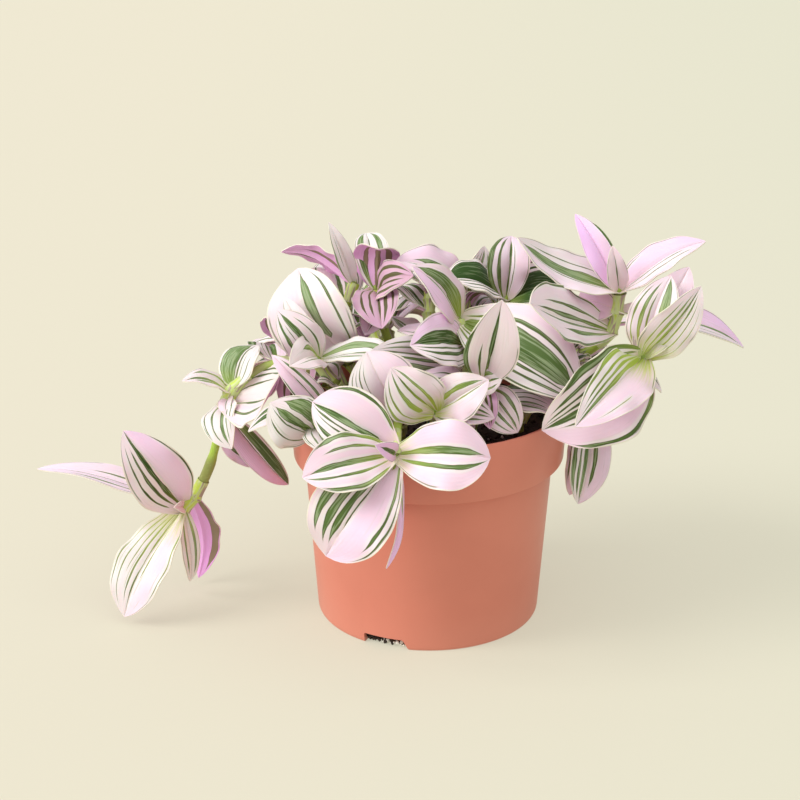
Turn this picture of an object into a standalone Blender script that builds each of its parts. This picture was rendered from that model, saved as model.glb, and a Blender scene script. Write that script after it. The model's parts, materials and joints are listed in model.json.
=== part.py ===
# Trailing tradescantia with striped leaves, in its thin terracotta-coloured plastic pot.
# The origin is the middle of the pot's underside, on the surface that it stands on.
# The photograph looks along +Y, and +X is to its right.

import math
import random

import bmesh
import bpy
from mathutils import Matrix, Vector
from mathutils.bvhtree import BVHTree

MM = 0.001
WELD = 0.00001

# Pot, in millimetres: radii at the heights that give its outline
POT_HEIGHT = 97.6
RIM_RADIUS = 60.0
COLLAR_Z = 72.2
COLLAR_RADIUS = 58.4
BODY_RADIUS = 53.7
BASE_RADIUS = 48.6
WALL = 1.3
CHAMFER = 0.6
FLOOR_RISE = 5.2
FLOOR_FILLET = 2.0
FOOT_WIDTH = 5.0
FOOT_CHAMFER = 1.2
PAD_RADIUS = 22.0
PAD_SLOPE = 1.0
POT_SIDES = 36

# Notches through the foot ring and holes through the raised floor
NOTCH_COUNT = 3
NOTCH_WIDTH = 18.0
NOTCH_HEIGHT = 4.7
NOTCH_OVERCUT = 4.0
NOTCH_HEADING = -114.0
DRAIN_COUNT = 6
DRAIN_RADIUS = 3.0
DRAIN_CIRCLE = 33.5

# Soil and the holes that the stems stand in
GAP = 0.3
SOIL_TOP = 88.5
SOIL_SHOULDER = 0.85
SOIL_SHOULDER_DROP = 0.8
SOIL_EDGE_DROP = 2.5
HOLE_BOTTOM = 62.0
HOLE_RADIUS = 3.1
HOLE_SIDES = 8

# Stems
STEM_RADIUS = 2.4
STEM_TIP_RADIUS = 1.7
NODE_SWELL = 0.5
SOIL_LEVEL_POINT = 91.0
STEM_STEP = 9.0
SMOOTH_PIECES = 8
FIRST_SWELL_SHARE = 0.3
GUARD_SIDES = 6
UNION_SOLVER = "MANIFOLD"
FLAT_ANGLE = 1.0

# Leaf blades: shares of the length where the rows of points stand, and the section's shape
BLADE_ROWS = (0.0, 0.16, 0.4, 0.66, 0.88, 1.0)
SMALL_BLADE_ROWS = (0.0, 0.2, 0.5, 0.82, 1.0)
SMALL_LENGTH = 34.0
BLADE_THICKNESS = 0.8
BASE_SHARE = 0.2
TAPER = 0.8
BOW_LEAN = 1.3
TIP_WIDTH = 1.2
MARGIN_RISE = 0.16

# Room round a blade, the last place on a stem that bears a leaf, and the row of points from
# which a blade keeps clear of the other leaves of its own stem
CLEARANCE = 0.3
FLOOR_ROOM = 1.2
LAST_SHARE = 0.95
OUTER_ROW = 2

# Ways, reaches and sizes that are tried for a leaf whose blade would cross another stem's
# pieces: its tip moves nearer or further from the viewer first, then up and down, then sideways
BEND_WAYS = ((0, -1, 0), (0, 1, 0), (0, -0.7, -0.7), (0, 0.7, 0.7), (0, 0, 1), (0, 0, -1),
             (0.7, -0.7, 0), (-0.7, -0.7, 0), (0.7, 0.7, 0), (-0.7, 0.7, 0))
BEND_REACHES = (0, 4, 8, 12, 17, 23, 30)
BEND_SIZES = (1.0, 0.85)

# Leaves that fill the plant's inside and back by rule: angles in degrees, and width as a share
# of length
SEED = 7
FILL_TURN = 150.0
FILL_SWING = 20.0
FILL_LENGTH = (30.0, 44.0)
FILL_LIFT = (-5.0, 40.0)
FILL_OUTWARD = 0.6
FILL_WIDTH = 0.52
FILL_WIDEST = 0.4
FILL_ARCH = 5.0
FILL_FACE = 0.3

# Stems of the back half, inner and outer by turns: the (outward reach, height) of their points,
# and the places of their leaves
BACK_STEMS = 7
BACK_HEADINGS = (26.0, 152.0)
BACK_ROOT_RADIUS = (27.0, 41.0)
BACK_INNER = ((3, 104), (9, 116), (16, 126), (19, 133))
BACK_OUTER = ((5, 101), (14, 110), (24, 113), (31, 108))
BACK_SHARES = (0.3, 0.52, 0.72, 0.88, 1.0)

# The height that the leaves laid by rule stay under: the mound falls towards the back and left
CROWN_TOP = 156.0
CROWN_FALL_BACK = 0.4
CROWN_FALL_LEFT = 0.9
CROWN_LEFT = 40.0

# The surface that leaves keep off: up the pot's outside, over its rim and across the soil
POT_ROOM = 0.9
POT_GUARD = ((BASE_RADIUS + POT_ROOM, 0), (BODY_RADIUS + POT_ROOM, COLLAR_Z - POT_ROOM),
             (COLLAR_RADIUS + POT_ROOM, COLLAR_Z - POT_ROOM), (RIM_RADIUS + POT_ROOM, POT_HEIGHT + POT_ROOM),
             (RIM_RADIUS - WALL - POT_ROOM, POT_HEIGHT + POT_ROOM),
             (COLLAR_RADIUS - WALL - POT_ROOM, SOIL_TOP), (0, SOIL_TOP))

POT_COLOUR = (0.62, 0.20, 0.11)
SOIL_COLOUR = (0.03, 0.02, 0.015)
FOLIAGE_COLOUR = (0.55, 0.52, 0.38)

TO_VIEW = (0.0, -0.9, 0.45)
UP = (0.0, 0.0, 1.0)

# Each leafy stem: where it stands in the soil, the points it passes above the soil, and its
# leaves. A leaf has its place along the stem (0 at the soil, 1 at the tip), the point of its
# own tip, its width, the share of its length where it is widest, how far it bows towards its
# upper side, and the way that side faces. Last come the places of the leaves that fill the
# plant's inside by rule.
STEMS = {
    "stem_left_trailing": (
        (-38, 4),
        [(-44, 3, 104), (-58, 2, 112), (-72, 0, 110), (-83, -1, 102), (-88, -1, 92),
         (-91, 0, 80), (-95, 0, 66), (-101, 0, 53), (-107, -1, 46), (-113, -3, 44)],
        [(0.99, (-133, -25, 4), 25, 0.6, 6, (-0.4, -0.8, 0.3)),
         (0.97, (-130, -14, 87), 27, 0.45, 5, (0.2, -0.9, 0.3)),
         (0.94, (-172, 8, 62), 17, 0.4, 3, (0.0, -0.1, 1.0)),
         (0.95, (-106, 5, 6), 9, 0.4, 3, (0.5, -0.85, 0.1)),
         (0.90, (-103, 18, 3), 16, 0.45, 5, (0.5, 0.85, 0.1)),
         (1.00, (-109, -17, 53), 6, 0.4, 1, (0.3, -0.8, 0.4)),
         (0.53, (-64, -24, 116), 35, 0.5, -7, (0.0, -0.55, 0.8)),
         (0.47, (-74, 12, 117), 20, 0.4, 4, (-0.5, -0.6, 0.6)),
         (0.49, (-105, -8, 108), 14, 0.4, 3, (0.0, -0.2, 1.0)),
         (0.52, (-84, -20, 81), 18, 0.4, 5, (-0.4, -0.9, 0.2)),
         (0.64, (-72, 4, 64), 14, 0.4, 3, (0.0, -0.8, 0.4)),
         (0.56, (-64, 10, 52), 13, 0.45, 5, (-0.3, -0.7, 0.6)),
         (0.30, (-72, 32, 104), 22, 0.4, 6, UP),
         (0.20, (-62, -22, 98), 16, 0.4, 5, UP),
         (0.50, (-86, -12, 93), 7, 0.45, 2, (-0.3, -0.9, 0.3))],
        (0.10,),
    ),
    "stem_left_rosette": (
        (-26, -14),
        [(-31, -17, 100), (-39, -20, 110), (-45, -20, 118), (-47, -20, 124)],
        [(0.97, (-63, -22, 144), 18, 0.4, 4, (0.2, -0.9, 0.3)),
         (0.90, (-61, -10, 146), 10, 0.4, 4, (-0.2, -0.5, 0.8)),
         (1.00, (-57, -42, 127), 16, 0.5, 4, (0.3, -0.6, 0.7)),
         (0.93, (-12, -34, 126), 17, 0.45, 4, (0.0, -0.3, 1.0))],
        (0.30, 0.60),
    ),
    "stem_left_low": (
        (-33, -27),
        [(-36, -32, 100), (-43, -38, 102), (-49, -43, 97)],
        [(1.00, (-65, -50, 114), 25, 0.5, 4, (-0.2, -0.9, 0.3)),
         (0.60, (-65, -34, 129), 11, 0.4, 4, (0.1, -0.9, 0.4)),
         (0.85, (-40, -62, 96), 14, 0.4, 3, (0.0, -0.9, 0.4))],
        (0.30,),
    ),
    "stem_left_high": (
        (-23, 2),
        [(-28, 0, 104), (-35, -3, 117), (-37, -1, 130), (-34, 4, 141), (-31, 6, 149)],
        [(0.42, (-56, 2, 155), 38, 0.58, 11, (-0.5, -0.75, 0.4)),
         (1.00, (-42, 0, 175), 8, 0.4, 2, (0.4, -0.9, 0.0)),
         (0.95, (-63, 14, 159), 14, 0.4, 4, (0.3, 0.6, 0.5)),
         (0.80, (-44, 34, 150), 22, 0.4, 5, UP)],
        (0.25, 0.60),
    ),
    "stem_top_left": (
        (-10, 4),
        [(-12, 4, 104), (-17, 4, 120), (-21, 4, 134), (-23, 4, 147)],
        [(0.95, (-21, -6, 166), 20, 0.5, 6, (0.0, 0.9, 0.3)),
         (0.90, (-7, -12, 156), 18, 0.5, 5, (0.3, -0.6, 0.6)),
         (0.97, (-20, -22, 136), 20, 0.55, 5, TO_VIEW),
         (0.80, (-27, -16, 131), 14, 0.4, 3, TO_VIEW),
         (1.00, (-27, 24, 164), 15, 0.5, 6, (0.0, -0.5, 0.9))],
        (0.30, 0.55),
    ),
    "stem_top_centre": (
        (4, 6),
        [(6, 6, 104), (11, 7, 119), (15, 8, 133), (17, 8, 145)],
        [(1.00, (-14, 0, 159), 22, 0.45, 4, (0.0, -0.5, 0.9)),
         (0.95, (24, 16, 160), 12, 0.4, 2, (0.5, -0.6, 0.4)),
         (0.80, (8, 40, 146), 22, 0.4, 6, UP)],
        (0.30, 0.60, 0.80),
    ),
    "stem_centre": (
        (8, -8),
        [(10, -11, 103), (13, -16, 114), (14, -18, 126), (12, -13, 139)],
        [(0.95, (63, -38, 111), 36, 0.45, 10, (0.1, -0.75, 0.65)),
         (1.00, (-7, -24, 164), 20, 0.4, 4, (0.7, -0.6, 0.4)),
         (0.75, (-8, -40, 139), 24, 0.5, 4, (0.0, -0.8, 0.5)),
         (0.60, (-24, -30, 132), 18, 0.4, 4, TO_VIEW)],
        (0.30, 0.50),
    ),
    "stem_centre_front": (
        (18, -20),
        [(19, -27, 103), (21, -36, 112), (22, -43, 121)],
        [(1.00, (28, -56, 159), 22, 0.45, 3, (0.0, -0.95, 0.2)),
         (0.95, (29, -50, 121), 12, 0.4, 2, TO_VIEW),
         (0.80, (36, -46, 99), 18, 0.4, 4, TO_VIEW),
         (0.90, (24, -54, 104), 10, 0.4, 2, TO_VIEW)],
        (0.30, 0.60),
    ),
    "stem_front_middle": (
        (2, -26),
        [(2, -32, 99), (2, -40, 103), (2, -46, 109)],
        [(1.00, (-16, -56, 131), 25, 0.5, 4, (-0.2, -0.9, 0.3)),
         (1.00, (23, -56, 126), 20, 0.5, 4, (0.2, -0.8, 0.5)),
         (0.90, (26, -50, 109), 16, 0.4, 5, (0.1, -0.7, 0.6))],
        (0.30,),
    ),
    "stem_front_trailing": (
        (-12, -28),
        [(-12, -36, 101), (-13, -48, 105), (-14, -58, 102), (-14, -65, 95)],
        [(0.97, (-51, -80, 94), 25, 0.55, 3, (0.0, -0.75, 0.6)),
         (0.90, (-48, -50, 116), 26, 0.55, 4, (0.0, -0.8, 0.5)),
         (0.97, (24, -72, 99), 29, 0.6, 6, (0.0, -0.8, 0.5)),
         (1.00, (-43, -74, 56), 35, 0.6, 7, (-0.2, -0.95, 0.2)),
         (1.00, (-17, -67, 47), 8, 0.3, 3, (0.9, -0.2, 0.1)),
         (0.95, (-25, -68, 80), 12, 0.4, 2, TO_VIEW),
         (1.00, (-22, -76, 106), 8, 0.4, 2, TO_VIEW),
         (0.40, (-26, -42, 133), 28, 0.6, 4, (-0.1, -0.9, 0.4)),
         (0.45, (-12, -38, 128), 12, 0.4, 3, TO_VIEW)],
        (0.25,),
    ),
    "stem_right_upright": (
        (36, 4),
        [(42, 3, 103), (54, 0, 112), (67, -3, 119), (76, -6, 128), (79, -7, 140), (79, -8, 151)],
        [(0.98, (114, -8, 170), 16, 0.4, 4, (0.0, -0.5, 0.85)),
         (0.95, (37, -14, 173), 21, 0.35, -6, (0.1, -0.5, 0.85)),
         (1.00, (61, 4, 178), 13, 0.4, 3, (0.3, -0.9, 0.2)),
         (0.72, (41, -42, 158), 29, 0.6, -3, (0.0, -0.7, 0.7)),
         (1.00, (75, -14, 169), 9, 0.4, 2, TO_VIEW),
         (0.85, (63, 6, 140), 18, 0.4, 4, TO_VIEW),
         (0.84, (134, -6, 123), 18, 0.4, 5, (0.2, -0.4, 0.9))],
        (0.15, 0.35, 0.50),
    ),
    "stem_right_trailing": (
        (38, -16),
        [(44, -17, 102), (58, -21, 112), (73, -26, 120), (84, -29, 125), (91, -30, 127)],
        [(0.96, (45, -50, 101), 39, 0.42, 11, (0.35, -0.9, 0.15)),
         (1.00, (57, -76, 114), 24, 0.4, 6, (0.1, -0.85, 0.5)),
         (0.97, (98, -25, 160), 22, 0.4, 4, (-0.4, -0.8, 0.3)),
         (0.92, (107, -20, 161), 20, 0.4, 4, TO_VIEW),
         (1.00, (108, -44, 161), 20, 0.4, 4, (0.3, -0.8, 0.4))],
        (0.15, 0.35, 0.55),
    ),
    "stem_right_low": (
        (44, 12),
        [(50, 10, 101), (60, 6, 105), (68, 2, 99), (71, -1, 88)],
        [(1.00, (64, -19, 55), 18, 0.5, 4, (0.2, -0.9, 0.2)),
         (0.95, (61, -8, 56), 18, 0.4, 3, (0.3, -0.8, 0.3)),
         (0.60, (92, 24, 104), 22, 0.4, 6, UP)],
        (0.15, 0.35),
    ),
    "stem_top_right": (
        (22, 8),
        [(24, 7, 104), (28, 6, 118), (31, 5, 131), (33, 4, 142)],
        [(0.95, (6, -7, 149), 24, 0.5, 4, (0.0, -0.35, 0.95)),
         (0.98, (59, 4, 144), 22, 0.5, 5, (0.0, -0.5, 0.85)),
         (1.00, (35, 16, 165), 18, 0.5, 9, (0.0, -0.85, 0.5)),
         (1.00, (50, 26, 157), 14, 0.4, 3, (0.0, -0.8, 0.3))],
        (0.30, 0.55, 0.80),
    ),
}


def outline_share(t, widest):
    """Half width of a blade at share t of its length, as a share of its widest half width."""
    if t < widest:
        return BASE_SHARE + (1 - BASE_SHARE) * math.sin(math.pi / 2 * t / widest)
    u = (t - widest) / (1 - widest)
    return (1 - u) ** TAPER * (1 + TAPER * u)


def bow_share(t):
    """(height, slope) of a blade's midline at share t, for a bow of height 1."""
    turn = math.pi * t**BOW_LEAN
    return math.sin(turn), math.pi * BOW_LEAN * t ** (BOW_LEAN - 1) * math.cos(turn)


def smooth_route(points):
    """Points on a Catmull-Rom curve through the given points, which passes through each."""
    ends = [2 * points[0] - points[1], *points, 2 * points[-1] - points[-2]]
    found = [points[0]]
    for a, b, c, d in zip(ends, ends[1:], ends[2:], ends[3:]):
        for k in range(1, SMOOTH_PIECES + 1):
            t = k / SMOOTH_PIECES
            found.append(
                0.5 * (2 * b + (c - a) * t + (2 * a - 5 * b + 4 * c - d) * t**2
                       + (3 * b - a - 3 * c + d) * t**3)
            )
    return found


def point_along(points, share):
    """The point at this share of the length of a line of points."""
    lengths = [(b - a).length for a, b in zip(points, points[1:])]
    left = share * sum(lengths)
    for a, b, length in zip(points, points[1:], lengths):
        if left <= length:
            return a.lerp(b, left / length)
        left -= length
    return points[-1].copy()


def blade_bmesh(leaf, thickness, first_row=0):
    """A closed blade in millimetres: a grid bent along its arched midline and given a wall."""
    base, tip, width, widest, arch, face = leaf
    chord = tip - base
    up = (face - chord * face.dot(chord) / chord.length_squared).normalized()
    rows = (SMALL_BLADE_ROWS if chord.length < SMALL_LENGTH else BLADE_ROWS)[first_row:]
    bm = bmesh.new()
    bmesh.ops.create_grid(bm, x_segments=2, y_segments=len(rows) - 1, size=1)
    for vert in bm.verts:
        across = round(vert.co.x)
        t = rows[round((vert.co.y + 1) / 2 * (len(rows) - 1))]
        half = max(width / 2 * outline_share(t, widest), TIP_WIDTH / 2)
        height, slope = bow_share(t)
        middle = base + chord * t + up * (arch * height)
        tangent = (chord + up * (arch * slope)).normalized()
        side = tangent.cross(up).normalized()
        rise = side.cross(tangent) * (MARGIN_RISE * half * abs(across))
        vert.co = middle + side * (across * half) + rise
    bmesh.ops.triangulate(bm, faces=bm.faces[:], quad_method="FIXED")
    bm.normal_update()
    for vert in bm.verts:
        vert.co -= vert.normal * thickness / 2
    bmesh.ops.solidify(bm, geom=bm.faces[:], thickness=-thickness)
    bmesh.ops.recalc_face_normals(bm, faces=bm.faces[:])
    return bm


def stem_tree(route):
    """A search tree of the space that a stem's tube needs."""
    bm = bmesh.new()
    radius = STEM_RADIUS + NODE_SWELL + CLEARANCE
    for a, b in zip(route, route[1:]):
        turn = (b - a).to_track_quat("Z", "Y").to_matrix().to_4x4()
        turn.translation = (a + b) / 2
        bmesh.ops.create_cone(
            bm, cap_ends=True, segments=GUARD_SIDES, radius1=radius, radius2=radius, depth=(b - a).length,
            matrix=turn,
        )
    return freed_tree(bm)


def turned_tree(profile):
    """A search tree of a surface turned round the pot's axis."""
    bm = bmesh.new()
    verts = [bm.verts.new((radius, 0, z)) for radius, z in profile]
    edges = [bm.edges.new(pair) for pair in zip(verts, verts[1:])]
    bmesh.ops.spin(bm, geom=verts + edges, cent=(0, 0, 0), axis=UP, angle=math.tau, steps=POT_SIDES)
    return freed_tree(bm)


def freed_tree(bm):
    tree = BVHTree.FromBMesh(bm)
    bm.free()
    return tree


def clear_of(leaf, stem_name, obstacles, siblings):
    """Whether a blade, with room round it, crosses no other stem's pieces and none of its own."""
    room = BLADE_THICKNESS + 2 * CLEARANCE
    bm = blade_bmesh(leaf, room)
    lowest = min(vert.co.z for vert in bm.verts)
    tree = freed_tree(bm)
    if lowest < FLOOR_ROOM:
        return False
    if any(name != stem_name and tree.overlap(other) for name, other in obstacles):
        return False
    outer = freed_tree(blade_bmesh(leaf, room, OUTER_ROW))
    return not any(outer.overlap(other) for other in siblings)


def bent_clear(leaf, stem_name, obstacles, siblings):
    """The leaf with its tip moved as little as clears it, or None where nothing does."""
    base, tip, width, widest, arch, face = leaf
    for size in BEND_SIZES:
        for reach in BEND_REACHES:
            for way in BEND_WAYS[: 1 if reach == 0 else None]:
                moved = base + (tip + Vector(way) * reach - base) * size
                tried = (base, moved, width * size, widest, arch * size, face)
                if clear_of(tried, stem_name, obstacles, siblings):
                    return tried
    return None


def heading_vector(heading, lift=0.0):
    """A unit vector at this heading round +Z from +X and this lift over the horizontal, in degrees."""
    a, b = math.radians(heading), math.radians(lift)
    return Vector((math.cos(a) * math.cos(b), math.sin(a) * math.cos(b), math.sin(b)))


def back_stems():
    """Stems of the half that faces away from the view, laid out as those in STEMS are."""
    first, last = BACK_HEADINGS
    found = {}
    for k in range(BACK_STEMS):
        heading = first + (last - first) * k / (BACK_STEMS - 1)
        out = heading_vector(heading)
        inner = k % 2 == 1
        root = out * BACK_ROOT_RADIUS[0 if inner else 1]
        reaches = BACK_INNER if inner else BACK_OUTER
        points = [root + out * reach + Vector((0, 0, z)) for reach, z in reaches]
        found[f"stem_back_{k + 1}"] = ((root.x, root.y), points, [], BACK_SHARES)
    return found


def whole_route(root, points):
    """A stem's centre line from the bottom of its hole to its tip, and the part above the soil."""
    bottom, top = Vector((*root, HOLE_BOTTOM + GAP)), Vector((*root, SOIL_LEVEL_POINT))
    above = smooth_route([top, *(Vector(point) for point in points)])
    return [bottom, *above], above


def filling_leaves(above, shares, draw):
    """Leaves on alternating sides up a stem, each leaning out from the middle of the plant."""
    found = []
    heading = draw.uniform(0, 360)
    for share in shares:
        heading += FILL_TURN + draw.uniform(-FILL_SWING, FILL_SWING)
        base = point_along(above, min(share, LAST_SHARE))
        length = draw.uniform(*FILL_LENGTH)
        way = heading_vector(heading, draw.uniform(*FILL_LIFT))
        outward = Vector((base.x, base.y, 0)).normalized()
        tip = base + (way + outward * FILL_OUTWARD).normalized() * length
        fall = CROWN_FALL_BACK * tip.y + CROWN_FALL_LEFT * max(0, -tip.x - CROWN_LEFT)
        tip.z = min(tip.z, CROWN_TOP - fall)
        face = Vector(UP) + outward * FILL_FACE
        found.append((base, tip, length * FILL_WIDTH, FILL_WIDEST, FILL_ARCH, face))
    return found


def lay_out():
    """Every stem's route and its leaves, bent clear of each other: name -> (route, leaves)."""
    draw = random.Random(SEED)
    stems = STEMS | back_stems()
    routes = {name: whole_route(root, points) for name, (root, points, _, _) in stems.items()}
    obstacles = [("pot", turned_tree(POT_GUARD))]
    obstacles += [(name, stem_tree(routes[name][1])) for name in routes]
    siblings = {name: [] for name in routes}
    laid = {name: (routes[name][0], []) for name in routes}

    def place(name, leaf):
        found = bent_clear(leaf, name, obstacles, siblings[name])
        if found is None:
            print("no room for a leaf of", name)
            return
        obstacles.append((name, freed_tree(blade_bmesh(found, BLADE_THICKNESS))))
        siblings[name].append(freed_tree(blade_bmesh(found, BLADE_THICKNESS, OUTER_ROW)))
        laid[name][1].append(found)

    for name, (_, _, leaves, _) in stems.items():
        for at, tip, width, widest, arch, face in leaves:
            base = point_along(routes[name][1], min(at, LAST_SHARE))
            place(name, (base, Vector(tip), width, widest, arch, Vector(face)))
    for name, (_, _, _, shares) in stems.items():
        for leaf in filling_leaves(routes[name][1], shares, draw):
            place(name, leaf)
    return laid


def material(name, colour, roughness):
    made = bpy.data.materials.new(name)
    made.use_nodes = True
    shader = made.node_tree.nodes["Principled BSDF"]
    shader.inputs["Base Color"].default_value = (*colour, 1)
    shader.inputs["Roughness"].default_value = roughness
    shader.inputs["Metallic"].default_value = 0
    return made


def named_object(name, mesh, collection, finish=None):
    obj = bpy.data.objects.new(name, mesh)
    collection.objects.link(obj)
    if finish:
        mesh.materials.append(finish)
    return obj


def mesh_of(name, bm):
    """A mesh in metres from a bmesh in millimetres, which it frees."""
    bmesh.ops.scale(bm, vec=(MM, MM, MM), verts=bm.verts)
    mesh = bpy.data.meshes.new(name)
    bm.to_mesh(mesh)
    bm.free()
    return mesh


def turned_object(name, profile, sides, collection, finish):
    """A solid of revolution from a profile of (radius, z) in millimetres."""
    bm = bmesh.new()
    verts = [bm.verts.new((radius, 0, z)) for radius, z in profile]
    for pair in zip(verts, verts[1:]):
        bm.edges.new(pair)
    obj = named_object(name, mesh_of(name, bm), collection, finish)
    screw = obj.modifiers.new("Turn", "SCREW")
    screw.steps = screw.render_steps = sides
    screw.use_merge_vertices = True
    screw.merge_threshold = WELD
    return obj


def cutter(name, bm, collection):
    obj = named_object(name, mesh_of(name, bm), collection)
    obj.hide_render = True
    obj.display_type = "WIRE"
    return obj


def upright_cylinder(centre, radius, low, high, sides):
    bm = bmesh.new()
    bmesh.ops.create_cone(
        bm, cap_ends=True, segments=sides, radius1=radius, radius2=radius, depth=high - low,
        matrix=Matrix.Translation((*centre, (low + high) / 2)),
    )
    return bm


def cut(obj, collection, name):
    boolean = obj.modifiers.new(name, "BOOLEAN")
    boolean.operation = "DIFFERENCE"
    boolean.operand_type = "COLLECTION"
    boolean.collection = collection


def cutters(name, parent):
    made = bpy.data.collections.new(name)
    parent.children.link(made)
    made.hide_render = True
    return made


def pot(collection, cutter_collection):
    """The moulded pot: a turned wall with a step under its collar, a raised floor, a pad and a foot."""
    floor = FLOOR_RISE + WALL
    inner_base, inner_body, inner_collar = BASE_RADIUS - WALL, BODY_RADIUS - WALL, COLLAR_RADIUS - WALL
    profile = [
        (0, WALL), (PAD_RADIUS - PAD_SLOPE, WALL), (PAD_RADIUS + PAD_SLOPE, floor),
        (inner_base - FLOOR_FILLET, floor), (inner_base, floor + FLOOR_FILLET),
        (inner_body, COLLAR_Z - CHAMFER), (inner_body + CHAMFER, COLLAR_Z + WALL),
        (inner_collar, COLLAR_Z + WALL + CHAMFER), (RIM_RADIUS - WALL, POT_HEIGHT),
        (RIM_RADIUS - CHAMFER, POT_HEIGHT), (RIM_RADIUS, POT_HEIGHT - CHAMFER),
        (COLLAR_RADIUS, COLLAR_Z + CHAMFER), (COLLAR_RADIUS - CHAMFER, COLLAR_Z),
        (BODY_RADIUS, COLLAR_Z), (BASE_RADIUS, FOOT_CHAMFER), (BASE_RADIUS - FOOT_CHAMFER, 0),
        (BASE_RADIUS - FOOT_WIDTH, 0), (BASE_RADIUS - FOOT_WIDTH - CHAMFER, FLOOR_RISE),
        (PAD_RADIUS + PAD_SLOPE + CHAMFER, FLOOR_RISE), (PAD_RADIUS, 0), (0, 0),
    ]
    finish = material("terracotta_plastic", POT_COLOUR, 0.45)
    obj = turned_object("pot", profile, POT_SIDES, collection, finish)
    openings = cutters("pot_cutters", cutter_collection)
    for k in range(NOTCH_COUNT):
        bm = bmesh.new()
        bmesh.ops.create_cube(bm, size=1)
        size = (FOOT_WIDTH + NOTCH_OVERCUT, NOTCH_WIDTH, 2 * NOTCH_HEIGHT)
        bmesh.ops.scale(bm, vec=size, verts=bm.verts)
        bmesh.ops.translate(bm, vec=(BASE_RADIUS - FOOT_WIDTH / 2, 0, 0), verts=bm.verts)
        turn = Matrix.Rotation(math.radians(NOTCH_HEADING + k * 360 / NOTCH_COUNT), 4, "Z")
        bmesh.ops.transform(bm, matrix=turn, verts=bm.verts)
        cutter(f"notch_{k + 1}", bm, openings)
    for k in range(DRAIN_COUNT):
        centre = heading_vector(NOTCH_HEADING + (k + 0.5) * 360 / DRAIN_COUNT) * DRAIN_CIRCLE
        bm = upright_cylinder(centre.xy, DRAIN_RADIUS, 0, floor + WALL, HOLE_SIDES)
        cutter(f"drain_{k + 1}", bm, openings)
    cut(obj, openings, "Notches and drains")


def soil(roots, collection, cutter_collection):
    """The peat that fills the pot, with a plain hole for each stem."""
    floor = FLOOR_RISE + WALL + GAP
    base, body, collar = (radius - WALL - GAP for radius in (BASE_RADIUS, BODY_RADIUS, COLLAR_RADIUS))
    top_share = (SOIL_TOP - COLLAR_Z) / (POT_HEIGHT - COLLAR_Z)
    edge = collar + (RIM_RADIUS - COLLAR_RADIUS) * top_share - GAP
    profile = [
        (0, SOIL_TOP), (edge * SOIL_SHOULDER, SOIL_TOP - SOIL_SHOULDER_DROP),
        (edge, SOIL_TOP - SOIL_EDGE_DROP), (collar, COLLAR_Z + WALL + 2 * CHAMFER),
        (body, COLLAR_Z + WALL + GAP), (base, floor + FLOOR_FILLET), (base - FLOOR_FILLET, floor),
        (PAD_RADIUS + PAD_SLOPE - GAP, floor), (PAD_RADIUS - PAD_SLOPE - GAP, WALL + GAP), (0, WALL + GAP),
    ]
    obj = turned_object("soil", profile, POT_SIDES, collection, material("peat", SOIL_COLOUR, 0.95))
    holes = cutters("soil_cutters", cutter_collection)
    for k, root in enumerate(roots):
        bm = upright_cylinder(root, HOLE_RADIUS, HOLE_BOTTOM, POT_HEIGHT, HOLE_SIDES)
        cutter(f"hole_{k + 1}", bm, holes)
    cut(obj, holes, "Stem holes")


def stem_curve(name, route):
    """A stem's tube, thicker at every second point, as a node ring is, and thinner at its tip."""
    length = sum((b - a).length for a, b in zip(route, route[1:]))
    count = max(6, round(length / STEM_STEP))
    curve = bpy.data.curves.new(name, "CURVE")
    curve.dimensions = "3D"
    curve.bevel_depth = STEM_RADIUS * MM
    curve.bevel_resolution = 1
    curve.use_fill_caps = True
    spline = curve.splines.new("POLY")
    spline.points.add(count)
    for k, point in enumerate(spline.points):
        share = k / count
        radius = STEM_RADIUS + (STEM_TIP_RADIUS - STEM_RADIUS) * share
        swell = NODE_SWELL if k % 2 and share > FIRST_SWELL_SHARE else 0
        point.co = (*(point_along(route, share) * MM), 1)
        point.radius = (radius + swell) / STEM_RADIUS
    return curve


def keep_largest_shell(bm):
    """Fills the hollows that fusing seals and drops loose scraps."""
    left = set(bm.faces)
    shells = []
    while left:
        shell, edge = set(), [left.pop()]
        while edge:
            face = edge.pop()
            shell.add(face)
            near = {other for line in face.edges for other in line.link_faces} & left
            left -= near
            edge.extend(near)
        shells.append(shell)
    shells.sort(key=len)
    for shell in shells[:-1]:
        bmesh.ops.delete(bm, geom=list(shell), context="FACES")


def merge_flat_faces(bm):
    """Dissolves the slivers that fusing leaves in flat places, and splits the rest into triangles."""
    bmesh.ops.dissolve_limit(
        bm, angle_limit=math.radians(FLAT_ANGLE), verts=bm.verts[:], edges=bm.edges[:]
    )
    bmesh.ops.triangulate(bm, faces=bm.faces[:])


def stem_mesh(name, route, collection):
    """The closed mesh of a stem's tube."""
    guide = named_object(name + "_guide", stem_curve(name, route), collection)
    graph = bpy.context.evaluated_depsgraph_get()
    mesh = bpy.data.meshes.new_from_object(guide.evaluated_get(graph))
    bpy.data.objects.remove(guide)
    bm = bmesh.new()
    bm.from_mesh(mesh)
    bmesh.ops.remove_doubles(bm, verts=bm.verts, dist=WELD)
    bmesh.ops.triangulate(bm, faces=bm.faces)
    bmesh.ops.recalc_face_normals(bm, faces=bm.faces)
    bm.to_mesh(mesh)
    bm.free()
    return mesh


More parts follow.
